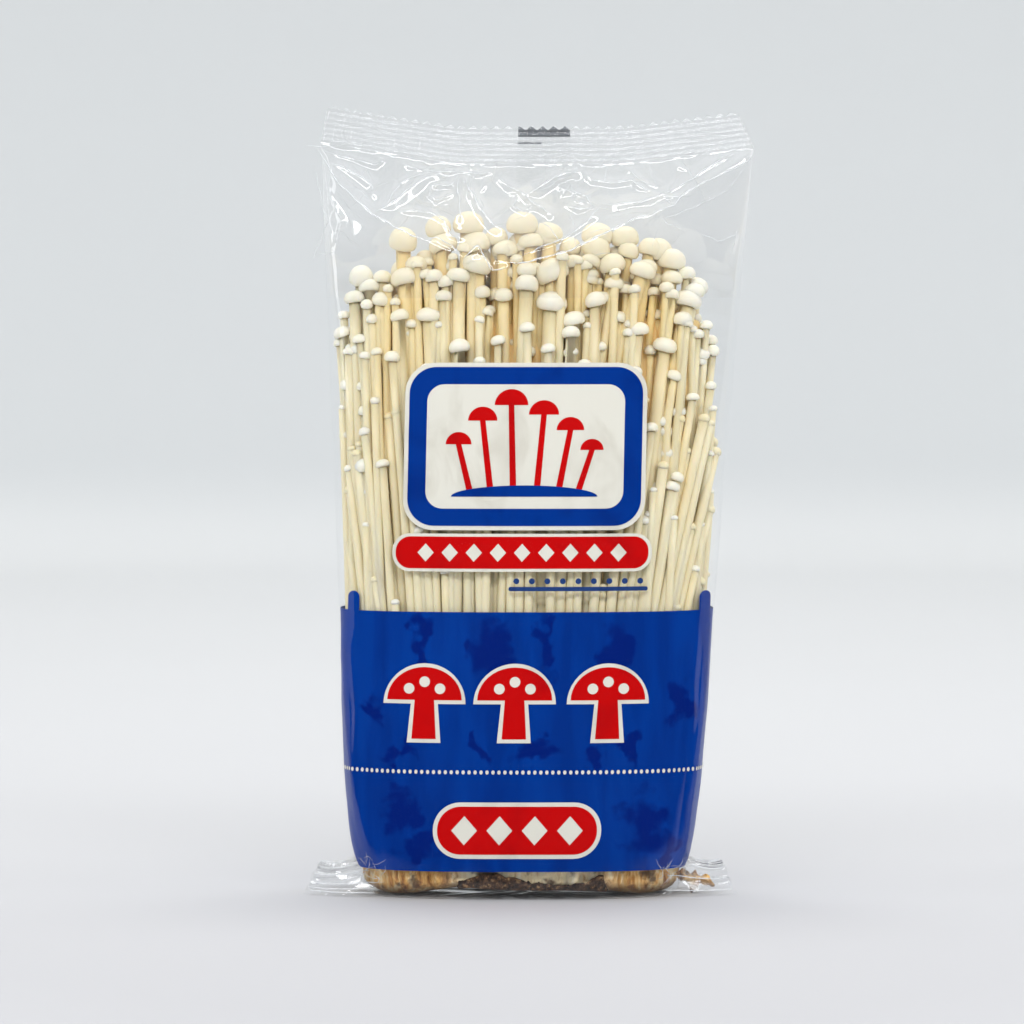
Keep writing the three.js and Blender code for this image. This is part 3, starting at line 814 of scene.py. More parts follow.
def build_head():
    """The headspace and the crimped seal over it, with its cut edge."""
    level = np.concatenate([np.linspace(HEAD_FROM, SEAL_LOW, HEAD_ROWS), np.full(SEAL_ROWS, SEAL_LOW)])
    x = arc_places(level, FILM_COLUMNS)
    z = np.repeat(level[:, None], FILM_COLUMNS, axis=1)
    share = np.linspace(0, 1, SEAL_ROWS + 1)[1:, None]
    z[HEAD_ROWS:] = SEAL_LOW + share * (tooth_edge(x[-1]) - SEAL_LOW)[None, :]
    ring = both_sheets(x, z)
    points = ring.reshape(-1, 3)
    faces = grid_faces(len(level), ring.shape[1], closed=True)
    middle = points[faces].mean(axis=1) * 1000
    vent = placed(*(np.array([v]) for v in (VENT_X, 0.0, VENT_Z)))[0] * 1000
    away = np.hypot(middle[:, 0] - vent[0], middle[:, 2] - vent[2])
    kept = (away > VENT_RADIUS) | (middle[:, 1] < 0)
    add_piece("film_head", points, faces[kept], [FILM_HEAD], "clear_film", node="film_pouch")


def build_vent():
    """The rim of the breathing hole in the back, a little thicker where the film was melted through."""
    sides = 40
    turn = circle(sides)
    rings = []
    for radius, out in VENT_PROFILE:
        x = VENT_X + (VENT_RADIUS + radius) * np.cos(turn)
        z = VENT_Z + (VENT_RADIUS + radius) * np.sin(turn)
        px, py, pz = film_point(x, z, 1)
        rings.append(placed(px, py + out, pz))
    faces = grid_faces(len(rings), sides, closed=True)
    add_piece("vent_rim", np.concatenate(rings), faces[:, ::-1], [CREASE], "clear_film")


def crease_ridge(points, side, half, high, stray=0.12):
    """A thin closed ridge along a line of places [x, z] on the film, which strays a little to its sides."""
    line = np.array(points, dtype=float)
    run = run_along(line[:, 0], line[:, 1])
    at = np.linspace(0, run[-1], max(4, int(run[-1] / RIDGE_STEP)))
    x = np.interp(at, run, line[:, 0])
    z = np.interp(at, run, line[:, 1])
    x = x + stray * (np.sin(at * 1.7 + line[0, 0]) + 0.5 * np.sin(at * 4.3))
    z = z + stray * np.sin(at * 1.3 + line[0, 1])
    x = x - lean_at(z)
    dx, dz = np.gradient(x), np.gradient(z)
    size = np.hypot(dx, dz)
    ends = np.clip(np.minimum(at, run[-1] - at) / 2.5, 0.12, 1)
    taper = ends * (0.75 + 0.25 * np.sin(at * 2.1 + line[0, 1]))
    sides = []
    for across, out in ((-1, 0.02), (0, 1.0), (1, 0.02)):
        shift = across * half * taper / size
        px, py, pz = film_point(x - dz * shift, z + dx * shift, side)
        sides.append(placed(px, py + side * out * high * taper, pz))
    ring = np.stack(sides, axis=1)
    return capped(ring[:, ::-1] if side > 0 else ring)


def build_creases():
    """The hard folds of the headspace."""
    parts = []
    for height, _, points in FRONT_WRINKLES:
        if min(z for _, z in points) > CREASE_LOWEST:
            parts.append(crease_ridge(points, -1, 0.09 + 0.13 * height, 0.12 + 0.14 * height))
    for found, side in ((FRONT_FAINT, -1), (BACK_WRINKLES, 1)):
        for height, _, points in found:
            parts.append(crease_ridge(points, side, 0.1, 0.14))
    draw = np.random.default_rng(14)
    for level in np.arange(SEAL_LOW + 0.4, SEAL_HIGH - 1.4, RIB_PITCH):
        start = -49 + draw.uniform(0, 4)
        while start < 46:
            end = min(start + draw.uniform(6, 26), 48.5)
            points = [(start + float(lean_at(level)), level), (end + float(lean_at(level)), level)]
            parts.append(crease_ridge(points, -1, 0.09, 0.07, 0.0))
            start = end + draw.uniform(0.5, 6)
    for _, _, points in CORNER_WRINKLES:
        parts.append(crease_ridge(points, -1, 0.12, 0.16))
        parts.append(crease_ridge([(-x, z) for x, z in points], 1, 0.12, 0.16))
    add_joined("film_creases", parts, [CREASE], "clear_film")


BASE_SHRINK = (0.97, 0.9, 0.8, 0.68, 0.54, 0.4, 0.26, 0.12)


def close_base(points, faces, count):
    """Closes the tube with wrinkled rings that shrink towards the middle of the base."""
    rim = points[:count]
    middle = rim.mean(axis=0)
    rings = [points]
    for i, share in enumerate(BASE_SHRINK):
        ring = middle + (rim - middle) * share
        ring[:, 2] = 0.00022 * (1 + np.sin(ring[:, 0] * 900 + i) * np.sin(ring[:, 1] * 700 + 2 * i))
        rings.append(ring)
    starts = [0] + [len(points) + i * count for i in range(len(BASE_SHRINK))]
    for outer, inner in zip(starts[:-1], starts[1:]):
        for i in range(count):
            n = (i + 1) % count
            faces.append([outer + i, inner + i, inner + n, outer + n])
    faces.append([starts[-1] + i for i in reversed(range(count))])
    return np.concatenate(rings), faces


def build_seam():
    """The lap seam down the back, pressed flat on the tube, as a thin closed strip."""
    columns, rows = 12, 130
    across = np.linspace(SEAM_FROM, SEAM_TO, columns)
    x = np.repeat(across[None, :], rows, axis=0)
    z = np.repeat(np.linspace(4, SEAM_HIGH - 0.5, rows)[:, None], columns, axis=1)
    px, py, pz = film_point(x, z, 1)
    settled = 1 - 0.7 * smoothstep(z, 168, 173)
    sheets = []
    for high in (0.75, 0.28):
        lift = high + 0.12 * np.sin(z * 0.9) * np.sin(across * 1.3)[None, :]
        sheets.append(placed(px, py + lift * settled, pz))
    points, faces = closed_strip(*sheets, turned=False)
    add_piece("film_seam", points, faces, [FILM], "clear_film")


# ---------------------------------------------------------------- the print


def band_floor(across):
    """Height of the band's lower edge, for each share of the way across the film."""
    left = 12 * smoothstep(0.085 - across, 0, 0.085) ** 1.3
    right = 4.5 * smoothstep(across - 0.93, 0, 0.07)
    return BAND_LOW + left + right


def build_band():
    """The blue band, right round the pack."""
    columns, rows = 150, 64
    low = band_floor(np.linspace(0, 1, columns))
    level = low[None, :] + np.linspace(0, 1, rows)[:, None] * (BAND_HIGH - low)[None, :]
    places = np.linspace(0, BAND_HIGH + 1, 120)
    table = arc_places(places, columns)
    x = np.stack([np.interp(level[:, i], places, table[:, i]) for i in range(columns)], axis=1)
    ring = both_sheets(x, level, 3.2 * INK_STEP)
    faces = grid_faces(rows, ring.shape[1], closed=True)
    add_piece("print_band", ring.reshape(-1, 3), faces, [BLUE], "clear_film")


def densified(outline, longest=1.0):
    """A closed outline whose long edges have points of their own."""
    made = []
    for (ax, az), (bx, bz) in zip(outline, outline[1:] + outline[:1]):
        steps = max(1, math.ceil(math.hypot(bx - ax, bz - az) / longest))
        made += [(ax + (bx - ax) * i / steps, az + (bz - az) * i / steps) for i in range(steps)]
    return made


CLEAR_OF_CORNERS = 0.3  # how far inner points keep from an outline's corners, as a share of their spacing


def filled_outline(outline, spacing=1.2):
    """Triangles that fill a closed outline [x, z], small enough to follow a curved film."""
    outline = [Vector(p) for p in densified(outline)]
    low_x, high_x = min(p[0] for p in outline), max(p[0] for p in outline)
    low_z, high_z = min(p[1] for p in outline), max(p[1] for p in outline)
    inside = []
    for gx in np.arange(low_x + spacing / 2, high_x, spacing):
        for gz in np.arange(low_z + spacing / 2, high_z, spacing):
            if within(gx, gz, outline, spacing * CLEAR_OF_CORNERS):
                inside.append(Vector((gx, gz)))
    count = len(outline)
    edges = [(i, (i + 1) % count) for i in range(count)]
    points, _, faces, *_ = geometry.delaunay_2d_cdt(outline + inside, edges, [list(range(count))], 1, 1e-6)
    return np.array([[p[0], p[1]] for p in points]), faces


def within(x, z, outline, margin):
    """True if a point lies in an outline and not nearer than a margin to its corners."""
    inside = False
    count = len(outline)
    for i in range(count):
        a, b = outline[i], outline[(i + 1) % count]
        if math.hypot(a[0] - x, a[1] - z) < margin:
            return False
        if (a[1] > z) != (b[1] > z) and x < (b[0] - a[0]) * (z - a[1]) / (b[1] - a[1]) + a[0]:
            inside = not inside
    return inside


def printed(name, outlines, layer, material, spacing=1.2):
    """Shapes of one ink, laid on the inside of the front film. `layer` 0 is the ink nearest to the film."""
    parts = []
    for outline in outlines:
        flat, faces = filled_outline(outline, spacing)
        inset = (layer + 1) * INK_STEP * 0.8
        parts.append((placed(*film_point(flat[:, 0], flat[:, 1], -1, inset)), faces))
    add_joined(name, parts, [material], "clear_film")


def round_box(x, z, half_width, half_height, corner, steps=10):
    """Outline of a rectangle with round corners."""
    made = []
    for turn, sx, sz in ((0, 1, 1), (90, -1, 1), (180, -1, -1), (270, 1, -1)):
        for i in range(steps + 1):
            a = math.radians(turn + 90 * i / steps)
            cx = x + sx * (half_width - corner)
            cz = z + sz * (half_height - corner)
            made.append((cx + corner * math.cos(a), cz + corner * math.sin(a)))
    return made


def bow(x, z, half_width, height, turns):
    """Places on a round or flattened arc, at some angles."""
    return [(x + half_width * math.cos(a), z + height * math.sin(a)) for a in turns]


def half_turn(steps):
    """Angles of half a turn, in equal steps."""
    return [math.pi * i / steps for i in range(steps + 1)]


def disc(x, z, radius, steps):
    return bow(x, z, radius, radius, [2 * math.pi * i / steps for i in range(steps)])


def toadstool(x, z, size, grow=0.0):
    """Outline of a plain mushroom sign: a half-round cap on a stalk. `grow` widens it all round."""
    half = size * 0.5 + grow
    rim = z + size * 0.02 - grow
    dome = size * 0.44 + 2 * grow
    stalk = size * 0.13 + grow
    foot = z - size * 0.5 - grow
    made = bow(x, rim, half, dome, half_turn(20))
    made += [(x - stalk, rim), (x - stalk * 1.25, foot), (x + stalk * 1.25, foot), (x + stalk, rim)]
    return made


# Slender mushrooms on the badge: sideways place of the foot, height, cap half width, lean
BADGE_SIGNS = [
    (-12.5, 11.5, 3.0, -3.0), (-7.8, 17.0, 3.4, -2.2), (-2.6, 20.6, 3.9, -0.8),
    (2.8, 18.4, 3.5, 1.4), (7.8, 14.8, 3.2, 2.6), (12.3, 10.2, 2.7, 3.2),
]


def slender(x, z, high, half, lean):
    """Outline of a slender mushroom sign, with its foot at a place."""
    top = z + high
    made = [(x - 0.75, z), (x + 0.75, z), (x + lean + 0.65, top)]
    made += bow(x + lean, top, half, half * 0.95, np.linspace(0, math.pi, 16))
    return made + [(x + lean - 0.65, top)]


def lozenge(x, z, half_width, half_height):
    return [(x + half_width, z), (x, z + half_height), (x - half_width, z), (x, z - half_height)]


def gem_row(x, z, count, pitch, half_width, half_height):
    """A row of lozenges about a place."""
    return [lozenge(x + pitch * (i - (count - 1) / 2), z, half_width, half_height) for i in range(count)]


def build_badge():
    """The badge: a round-cornered frame with slender mushrooms."""
    x, z, hw, hh = BADGE["x"], BADGE["z"], BADGE["half_width"], BADGE["half_height"]
    printed("badge_edge", [round_box(x, z, hw, hh, 7)], 2.2, WHITE)
    printed("badge_field", [round_box(x, z, hw - 1.0, hh - 1.0, 6.2)], 1.6, BADGE_BLUE)
    printed("badge_panel", [round_box(x, z, hw - 5.2, hh - 5.0, 4)], 1.0, WHITE)
    signs = [slender(x + dx, z - BADGE["foot"], *size) for dx, *size in BADGE_SIGNS]
    printed("badge_signs", signs, 0.4, RED, spacing=1.6)
    ground = bow(x, z - BADGE["ground"], 17, 2.6, np.linspace(0, math.pi, 24))
    printed("badge_ground", [ground], 0.1, BADGE_BLUE, spacing=1.6)


def build_prints():
    """The rest of the print on the front film. All of it is plain ornament."""
    x = ((BAR_LEFT_PIXEL + BAR_RIGHT_PIXEL) / 2 - MIDDLE_PIXEL) / PIXELS_PER_MM
    printed("title_edge", [round_box(x, TITLE_HIGH, 30.2, 4.4, 4)], 1.2, WHITE)
    printed("title_bar", [round_box(x, TITLE_HIGH, 29.4, 3.7, 3.4)], 0.7, RED)
    printed("title_gems", gem_row(x, TITLE_HIGH, 9, 5.6, 1.9, 2.1), 0.2, WHITE, spacing=1.6)
    printed("small_rule", [round_box(RULE_X, 72.6, 16.2, 0.5, 0.45)], 0.7, NAVY)
    beads = [disc(RULE_X + 3.6 * i, 74.4, 0.7, 12) for i in range(-4, 5)]
    printed("small_beads", beads, 0.7, NAVY, spacing=2)
    printed("sign_edges", [toadstool(x, SIGN_HIGH, SIGN_SIZE, 0.9) for x in SIGN_PLACES], 1.6, WHITE)
    printed("signs", [toadstool(x, SIGN_HIGH, SIGN_SIZE) for x in SIGN_PLACES], 1.0, RED)
    spots = [disc(x + dx, SIGN_HIGH + dz, 1.25, 16) for x in SIGN_PLACES for dx, dz in SIGN_SPOTS]
    printed("sign_spots", spots, 0.4, WHITE)
    printed("low_edge", [round_box(LOW_X, LOW_HIGH, 19.6, 6.6, 6.4)], 1.6, WHITE)
    printed("low_bar", [round_box(LOW_X, LOW_HIGH, 18.6, 5.6, 5.4)], 1.0, RED)
    printed("low_gems", gem_row(LOW_X, LOW_HIGH, 4, 8.2, 3.0, 3.4), 0.4, WHITE)
    tabs = []
    for x in TAB_PLACES:
        foot = [(x - TAB_HALF, BAND_HIGH - 1), (x + TAB_HALF, BAND_HIGH - 1)]
        tabs.append(foot + bow(x, TAB_HIGH, TAB_HALF, TAB_HALF, half_turn(10)))
    printed("band_tabs", tabs, 2.4, BLUE, spacing=1)


def build_dots():
    """The dotted tear line round the band."""
    across = arc_places([DOTS_HIGH], 1601)[0]
    run = run_along(across, bulge_at(across, np.full_like(across, DOTS_HIGH)))
    sides = 10
    turn = circle(sides)
    rim_run = np.append(0.4 * np.cos(turn), 0.0)
    rim_high = np.append(0.5 * np.sin(turn), 0.0)
    faces = [[i, (i + 1) % sides, sides] for i in range(sides)]
    parts = []
    for side in (-1, 1):
        for centre in np.arange(DOT_PITCH / 2, run[-1], DOT_PITCH):
            x = np.interp(centre + rim_run, run, across)
            parts.append((placed(*film_point(x, DOTS_HIGH + rim_high, side, 1.4 * INK_STEP)), faces))
    add_joined("dotted_line", parts, [WHITE], "clear_film")


def build_eye_mark():
    """The dark registration mark on the top seal, between its two sheets, with the dark line below it."""
    columns, rows = 60, 20
    for name, low, right in (("eye_mark", 177.6, 8.3), ("eye_line", 175.9, 1.2)):
        across = np.linspace(-4.5, right, columns)
        top = tooth_edge(across) - 0.1 if name == "eye_mark" else np.full_like(across, EYE_LINE_TOP)
        x = np.repeat(across[None, :], rows, axis=0)
        z = low + np.linspace(0, 1, rows)[:, None] * (top - low)[None, :]
        px, py, pz = film_point(x, z, -1)
        points = placed(px, py + FLAT_LEAST, pz).reshape(-1, 3)
        add_piece(name, points, grid_faces(rows, columns), [MARK], "clear_film")


# ---------------------------------------------------------------- the mushrooms

# Cap profile from the stem out to the rim and up to its top: radius as a share of the cap's, height the same
CAP_PROFILE = [
    (0.5, -0.26), (0.72, -0.3), (0.88, -0.22), (0.97, -0.06), (1.0, 0.12), (0.97, 0.32),
    (0.88, 0.52), (0.73, 0.7), (0.52, 0.83), (0.27, 0.91), (0.05, 0.935),
]
RIM_UNDER_TOP = 0.95  # as a share of the cap's radius
STEM_OF_CAP = 0.56  # thickness of a stem as a share of its cap's diameter, within the next two
STEM_THINNEST = 2.0
STEM_THICKEST = 4.0
STEM_RINGS = 9
FAR_OUT = 0.88  # bodies beyond this share of the half width come up from SIDE_FOOT
SIDE_FOOT = 14.0


def stem_line(axis, rim, inset, lean, q, root, wobble):
    """Centres of a stem's rings, from its foot to the rim of its cap, with their share of its height."""
    share = axis / (float(width_at(rim)) - inset)
    foot = SIDE_FOOT if abs(share) > FAR_OUT else root
    level = foot + (rim - foot) * np.linspace(0, 1, STEM_RINGS) ** 0.9
    rise = (level - foot) / (rim - foot)
    reach = width_at(level) - inset
    cx = share * reach + lean * (1 - rise)
    cx = cx + (wobble[0] * np.sin(3 * rise) + wobble[1] * np.sin(7 * rise)) * (1 - rise)
    cx = np.clip(cx, -reach, reach)
    cy = q * depth_at(cx, level, inset)
    cy = cy + np.abs(wobble[2]) * -np.sign(q) * np.sin(4 * rise) * (1 - rise) * 0.6
    return cx, cy, level, rise


def fruit_body(x, top, cap, lean, q, root, sides, draw, stem=None):
    """One stem with its cap, as points, faces and which faces are the cap's."""
    dome = cap / 2
    rim = top - dome * RIM_UNDER_TOP
    stem = stem if stem else min(max(cap * STEM_OF_CAP, STEM_THINNEST), STEM_THICKEST) / 2
    wobble = draw.normal(0, 0.45, 4)
    cx, cy, level, rise = stem_line(x - float(lean_at(top)), rim, ROOM + dome, lean, q, root, wobble)
    thick = stem * (1.14 - 0.2 * rise + 0.05 * np.sin(9 * rise + wobble[3] * 9))
    turn = circle(sides) + draw.uniform(0, 1)
    cos, sin = np.cos(turn), np.sin(turn)
    rings = [
        np.stack([cx[i] + thick[i] * cos, cy[i] + thick[i] * sin, np.full(sides, level[i])], -1)
        for i in range(STEM_RINGS)
    ]
    tilt_x, tilt_y = draw.normal(0, 0.14, 2)
    tilt_x += (cx[-1] - cx[-3]) / (level[-1] - level[-3])
    squash = draw.uniform(0.86, 1.08) + (0.12 if abs(q) < 0.3 else 0)
    oval = draw.uniform(0.94, 1.06)
    for radius, height in CAP_PROFILE:
        dx = radius * dome * oval * cos
        dy = radius * dome / oval * sin
        dz = height * dome * squash - tilt_x * dx - tilt_y * dy
        px = cx[-1] + dx + tilt_x * height * dome
        py = cy[-1] + dy + tilt_y * height * dome
        rings.append(np.stack([px, py, rim + dz], -1))
    faces = grid_faces(len(rings), sides, closed=True).tolist()
    faces.append(list(range(len(rings) * sides - sides, len(rings) * sides)))
    faces.append(list(range(sides))[::-1])
    marks = [0] * (STEM_RINGS - 1) * sides + [1] * len(CAP_PROFILE) * sides + [1, 0]
    return placed(*np.concatenate(rings).T), faces, marks


def splay(x, right, left):
    """How much nearer the middle a stem's foot is than its cap, as the bunch opens towards its top."""
    return left * max(-x - SPLAY_FROM, 0) - right * max(x - SPLAY_FROM, 0)


def main_bodies(draw):
    """The named fruit bodies and, turned half round and a little shorter, those of the back."""
    front = []
    back = []
    for q, root, row in ROWS:
        for x, top, cap, lean in row:
            axis = x - float(lean_at(top))
            lean += draw.normal(0, 1.3) + splay(x, 0.36, 0.24) * (1 if root < 50 else 0.5)
            front.append(fruit_body(x, top, cap, lean, q, root, 14, draw))
            low = top * BACK_SHORTER
            mirrored = -axis * BACK_NARROWER + float(lean_at(low))
            back.append(fruit_body(mirrored, low, cap, -lean, -q, root, 12, draw))
    for x, middle, cap, q, lean in SMALLER:
        front.append(fruit_body(x, middle + CAP_OVER_MIDDLE * cap, cap, lean, q, 15, 12, draw))
    return front, back


# Height that the tops of the inner bodies stay near: places across, heights
ENVELOPE = ((-44, -38, -28, -14, 0, 16, 34, 41, 45), (120, 134, 145, 150, 150, 146, 142, 132, 112))


def envelope(x):
    """That height at a place across the pack."""
    return np.interp(x, *ENVELOPE)


def places_at(bodies, height, side):
    """Sideways places of the bodies near the film of one side at a height, in the upright pack."""
    found = []
    for points, _, _ in bodies:
        near = np.abs(points[:, 2] * 1000 - height) < 9
        if near.any():
            middle = points[near].mean(axis=0) * 1000
            if side * middle[1] > 11:
                found.append(middle[0] - SHIFT_X - float(lean_at(height)))
    return found


def young_bodies(draw, side, count, shallow, deep, taken):
    """Thin bodies between two shares of the depth, each in the widest gap left. Most have hardly a cap."""
    made = []
    taken = sorted([-43.0, 43.0, *taken])
    for _ in range(count):
        gaps = np.diff(taken)
        i = int(np.argmax(gaps))
        x = taken[i] + gaps[i] * draw.uniform(0.4, 0.6)
        taken.insert(i + 1, x)
        q = side * draw.uniform(shallow, deep)
        edge = 14 * smoothstep(abs(x), 26, 40)
        top = draw.uniform(88, 120) - edge * 0.3 if draw.random() < 0.8 else draw.uniform(68, 88)
        stem = draw.uniform(1.0, 1.35)
        plain = draw.random() < 0.7
        cap = 2 * stem * (draw.uniform(1.0, 1.2) if plain else draw.uniform(1.4, 1.8))
        at = x * float(width_at(top) / width_at(YOUNG_MEASURED)) + float(lean_at(top))
        lean = draw.normal(0, 1.0) + splay(x, 0.5, 0.3)
        at -= lean * (top - YOUNG_MEASURED) / (top - 14) * (1 - smoothstep(abs(x), 22, 34))
        points, faces, marks = fruit_body(at, top, cap, lean, q, 14, 9, draw, stem)
        made.append((points, faces, [0] * len(marks) if plain else marks))
    return made


def inner_bodies(draw, count):
    """Bodies that fill the bunch between its rows."""
    made = []
    for i in range(count):
        x = -42 + 84 * (i + draw.uniform(0, 1)) / count
        q = draw.uniform(-0.86, 0.86)
        top = float(envelope(x)) + 3 - 30 * draw.uniform(0, 1) ** 1.6
        cap = draw.uniform(2.4, 4.6)
        made.append(fruit_body(x, top, cap, draw.normal(0, 1.5), q, 96, 9, draw))
    return made


# The core: height of each ring, and how far it lies inside the film
CORE = np.array([
    [9, 1.7], [12, 1.8], [17, 2.0], [24, 3.2], [34, 4.6], [50, 5.6], [70, 5.8], [90, 5.8],
    [104, 6.0], [116, 6.4], [126, 7.0], [133, 8.2], [137, 10.5],
])


def build_core():
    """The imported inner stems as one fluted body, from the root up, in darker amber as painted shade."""
    turn = circle(360)
    flute = 1 - np.abs(np.sin(turn * 45 + 0.8 * np.sin(turn * 9))) ** 0.7
    rings = []
    for z, gap in CORE:
        x, y = section(z, turn, gap + 1.3 * flute)
        rings.append(placed(x, y, np.full_like(x, z)))
    add_piece("core_stems", *capped(rings), [CORE_SHADED_FLESH], "mushroom_flesh", node="mushroom_bunch")


def arch(x):
    """How far the underside of the root stands over the floor, for each place across."""
    return np.interp(x, [-29, -21, -12.5, -2, 12, 22, 30], [0, 1.3, 2.3, 1.6, 1.5, 1.0, 0])


# The root: height of each ring, and how much it is undercut
ROOT_RINGS = (
    (0.7, 1.0), (1.1, 0.45), (2.0, 0.15), (3.2, 0), (4.8, 0), (6.4, 0), (8, 0), (10, 0), (12.5, 0),
    (15, 0), (17.5, 0),
)


def build_root():
    """The matted root under the stems, lumpy and fibrous, cut flat below."""
    turn = circle(300)
    strand = np.abs(np.sin(turn * 62 + 3 * np.sin(turn * 7)))
    rings = []
    for z, undercut in ROOT_RINGS:
        x, y = section(z, turn)
        lump = 0.5 + 0.5 * crumple(x, y, np.full_like(x, z), 0.22, 5)
        room = 1.5 + undercut + 1.6 * np.clip(1 - lump, 0, 1) + 0.7 * (1 - strand)
        scale_x = 1 - room / float(width_at(z))
        scale_y = 1 - room / float(smooth_read(TUBE, 2, z))
        raised = z + arch(x) * (1 - smoothstep(z, 0.6, 7))
        rings.append(placed(x * scale_x, y * scale_y, raised))
    add_piece("root_mat", *capped(rings), [ROOT], "mushroom_flesh", node="mushroom_bunch")


# Upper edge of the patch of growing medium: place across the pack, height
MEDIUM_EDGE = np.array([
    [-18.5, 1.6], [-15, 3.4], [-11.5, 4.6], [-7, 5.6], [-4, 5.2], [-0.5, 4.2], [6, 3.4],
    [13, 3.2], [16.5, 4.2], [19.5, 5.2], [22.5, 1.8],
])
MEDIUM_SHARES = (0, 0.04, 0.12, 0.22, 0.34, 0.46, 0.58, 0.7, 0.82, 0.92, 0.97, 1)


def build_medium():
    """The crumbly patch of growing medium under the root."""
    turn = circle(420)
    uneven = 1 + 0.07 * np.sin(3 * turn + 1) + 0.05 * np.sin(7 * turn) + 0.012 * np.sin(23 * turn)
    x = MEDIUM["x"] + MEDIUM["half_width"] * uneven * np.cos(turn)
    y = MEDIUM["half_depth"] * uneven * np.sin(turn)
    flat = np.zeros_like(x)
    ragged = 0.5 * crumple(x, y, flat, 0.34, 9) + 0.35 * crumple(x, y, flat, 0.9, 10)
    low = 0.8 + 0.85 * arch(x)
    high = np.maximum(smooth_read(MEDIUM_EDGE, 1, x) + ragged - low, 0.12)
    rings = []
    for share in MEDIUM_SHARES:
        z = low + share * high
        limit = bulge_at(x, z, 1.12)
        held = np.clip(y, -limit, limit)
        crumb = 0.5 * crumple(x, held, z, 0.6, 7)
        rings.append(placed(x + 0.3 * crumb, held * (1 - 0.012 * (1 + crumb)), z))
    add_piece("medium_patch", *capped(rings), [SOIL], "growing_medium", node="growing_medium")


def build_bunch():
    """All the bodies, in groups that are one piece each."""
    draw = np.random.default_rng(7)
    front, back = main_bodies(draw)
    in_front = places_at(front, YOUNG_MEASURED, -1)
    behind = places_at(back, YOUNG_MEASURED, 1)
    groups = {
        "bodies_front": front,
        "bodies_back": back,
        "young_front": young_bodies(draw, -1, 26, 0.9, 1.0, in_front),
        "young_back": young_bodies(draw, 1, 34, 0.9, 1.0, behind),
        "young_behind_front": young_bodies(draw, -1, 56, 0.7, 0.82, []),
        "young_behind_back": young_bodies(draw, 1, 50, 0.7, 0.82, []),
        "bodies_inner": inner_bodies(draw, 300),
    }
    for name, made in groups.items():
        add_joined(name, made, [STALK, CAP], "mushroom_flesh", "mushroom_bunch")


# ---------------------------------------------------------------- ears of the bottom seal

# Height of the fans of film: distance out, height
FAN = np.array([[30, 9.6], [36, 10.6], [40, 9.2], [44, 8.0], [48, 7.6], [50.2, 8.0]])
EAR_SHEET = 0.25
EAR_RIB = ((-0.14, 0.0), (0, 0.22), (0.14, 0.0))  # section of a rib: across and up


class Ear:
    """The fan of one ear: `v` runs over it from -1 to 1, from its back rim to its front rim."""

    root_out = 32.5
    tip_out = 50.2
    knot_count = 23
    slant = 3.4  # how much further out the cut end is on the floor than at its top

    def __init__(self, side):
        self.side = side
        draw = np.random.default_rng(31 if side < 0 else 32)
        inner = draw.uniform(-1, 1, self.knot_count - 2)
        self.knots = np.sort(np.concatenate([[-1, 1], inner]))
        even = np.arange(self.knot_count) % 2 == 0
        self.folds = np.where(even, 0.0, draw.uniform(0.6, 1.4, self.knot_count))
        self.rims = draw.uniform(-1.2, 0.6, self.knot_count)

    def place(self, out, v):
        """Place of the upper face of the film."""
        half = smooth_read(EAR, 1, out)
        high = smooth_read(FAN, 1, out)
        fold = np.interp(v, self.knots, self.folds)
        share = (out - self.root_out) / (self.tip_out - self.root_out)
        peak = np.clip(1 - np.abs(v) ** 1.5, 0, 1)
        top = 0.3 + (high - 1.4) * peak + (0.2 + 0.8 * share) * fold * (0.3 + 0.7 * peak)
        back = self.slant * share * peak
        x = self.side * (out - back + 0.6 + 0.5 * share * np.interp(v, self.knots, self.rims))
        return x, half * v * (1 + 0.03 * fold), np.maximum(top, 0.3)


def build_ear(side, name):
    """One ear: a gathered fan of film that runs out along the floor, in sharp radiating folds."""
    around, rows = 150, 40
    ear = Ear(side)
    out = np.linspace(ear.root_out, ear.tip_out, rows)[:, None]
    x, y, top = ear.place(out, np.linspace(-1, 1, around)[None, :])
    base = np.maximum(top - EAR_SHEET, 0.04)
    points, faces = closed_strip(placed(x, y, top), placed(x, y, base), turned=True)
    add_piece(name, points, faces, [FILM_EAR], "clear_film", smooth=False)


def ear_ribs(side):
    """The whitened ribs along the folds of an ear, partly a painted highlight, as thin closed ridges."""
    ear = Ear(side)
    steps = 26
    out = np.linspace(ear.root_out + 1, ear.tip_out - 0.6, steps)
    parts = []
    for v in ear.knots[1::2]:
        x, y, top = ear.place(out, np.full(steps, v))
        rows = [placed(x, y + across * side, top + up) for across, up in EAR_RIB]
        parts.append(capped(np.stack(rows, axis=1)))
    return parts


def build_scrap():
    """A frayed scrap of root that is caught in the right ear."""
    turn = circle(18)
    rings = []
    for t in np.linspace(0, 1, 40):
        cy = -4.0 + 1.6 * math.sin(5 * t)
        cz = 4.2 - 1.9 * t + 0.5 * math.sin(9 * t + 1)
        thick = (0.4 + 1.3 * math.sin(math.pi * min(1, t + 0.06))) * (0.72 + 0.28 * math.sin(17 * t))
        lump = 1 + 0.3 * np.sin(3 * turn + 12 * t) + 0.2 * np.sin(5 * turn - 23 * t)
        x = 37.0 + 8.2 * t + 0.5 * np.sin(4 * turn + 9 * t)
        y = cy + 0.7 * thick * lump * np.cos(turn)
        rings.append(placed(x, y, cz + 1.2 * thick * lump * np.sin(turn)))
    add_piece("root_scrap", *capped(rings), [ROOT], "mushroom_flesh")


# ---------------------------------------------------------------- studio


AIR_LIGHT = 0.92
AIR_MIRRORED = 0.03
LAMP_AIM = (0, 0, 0.09)
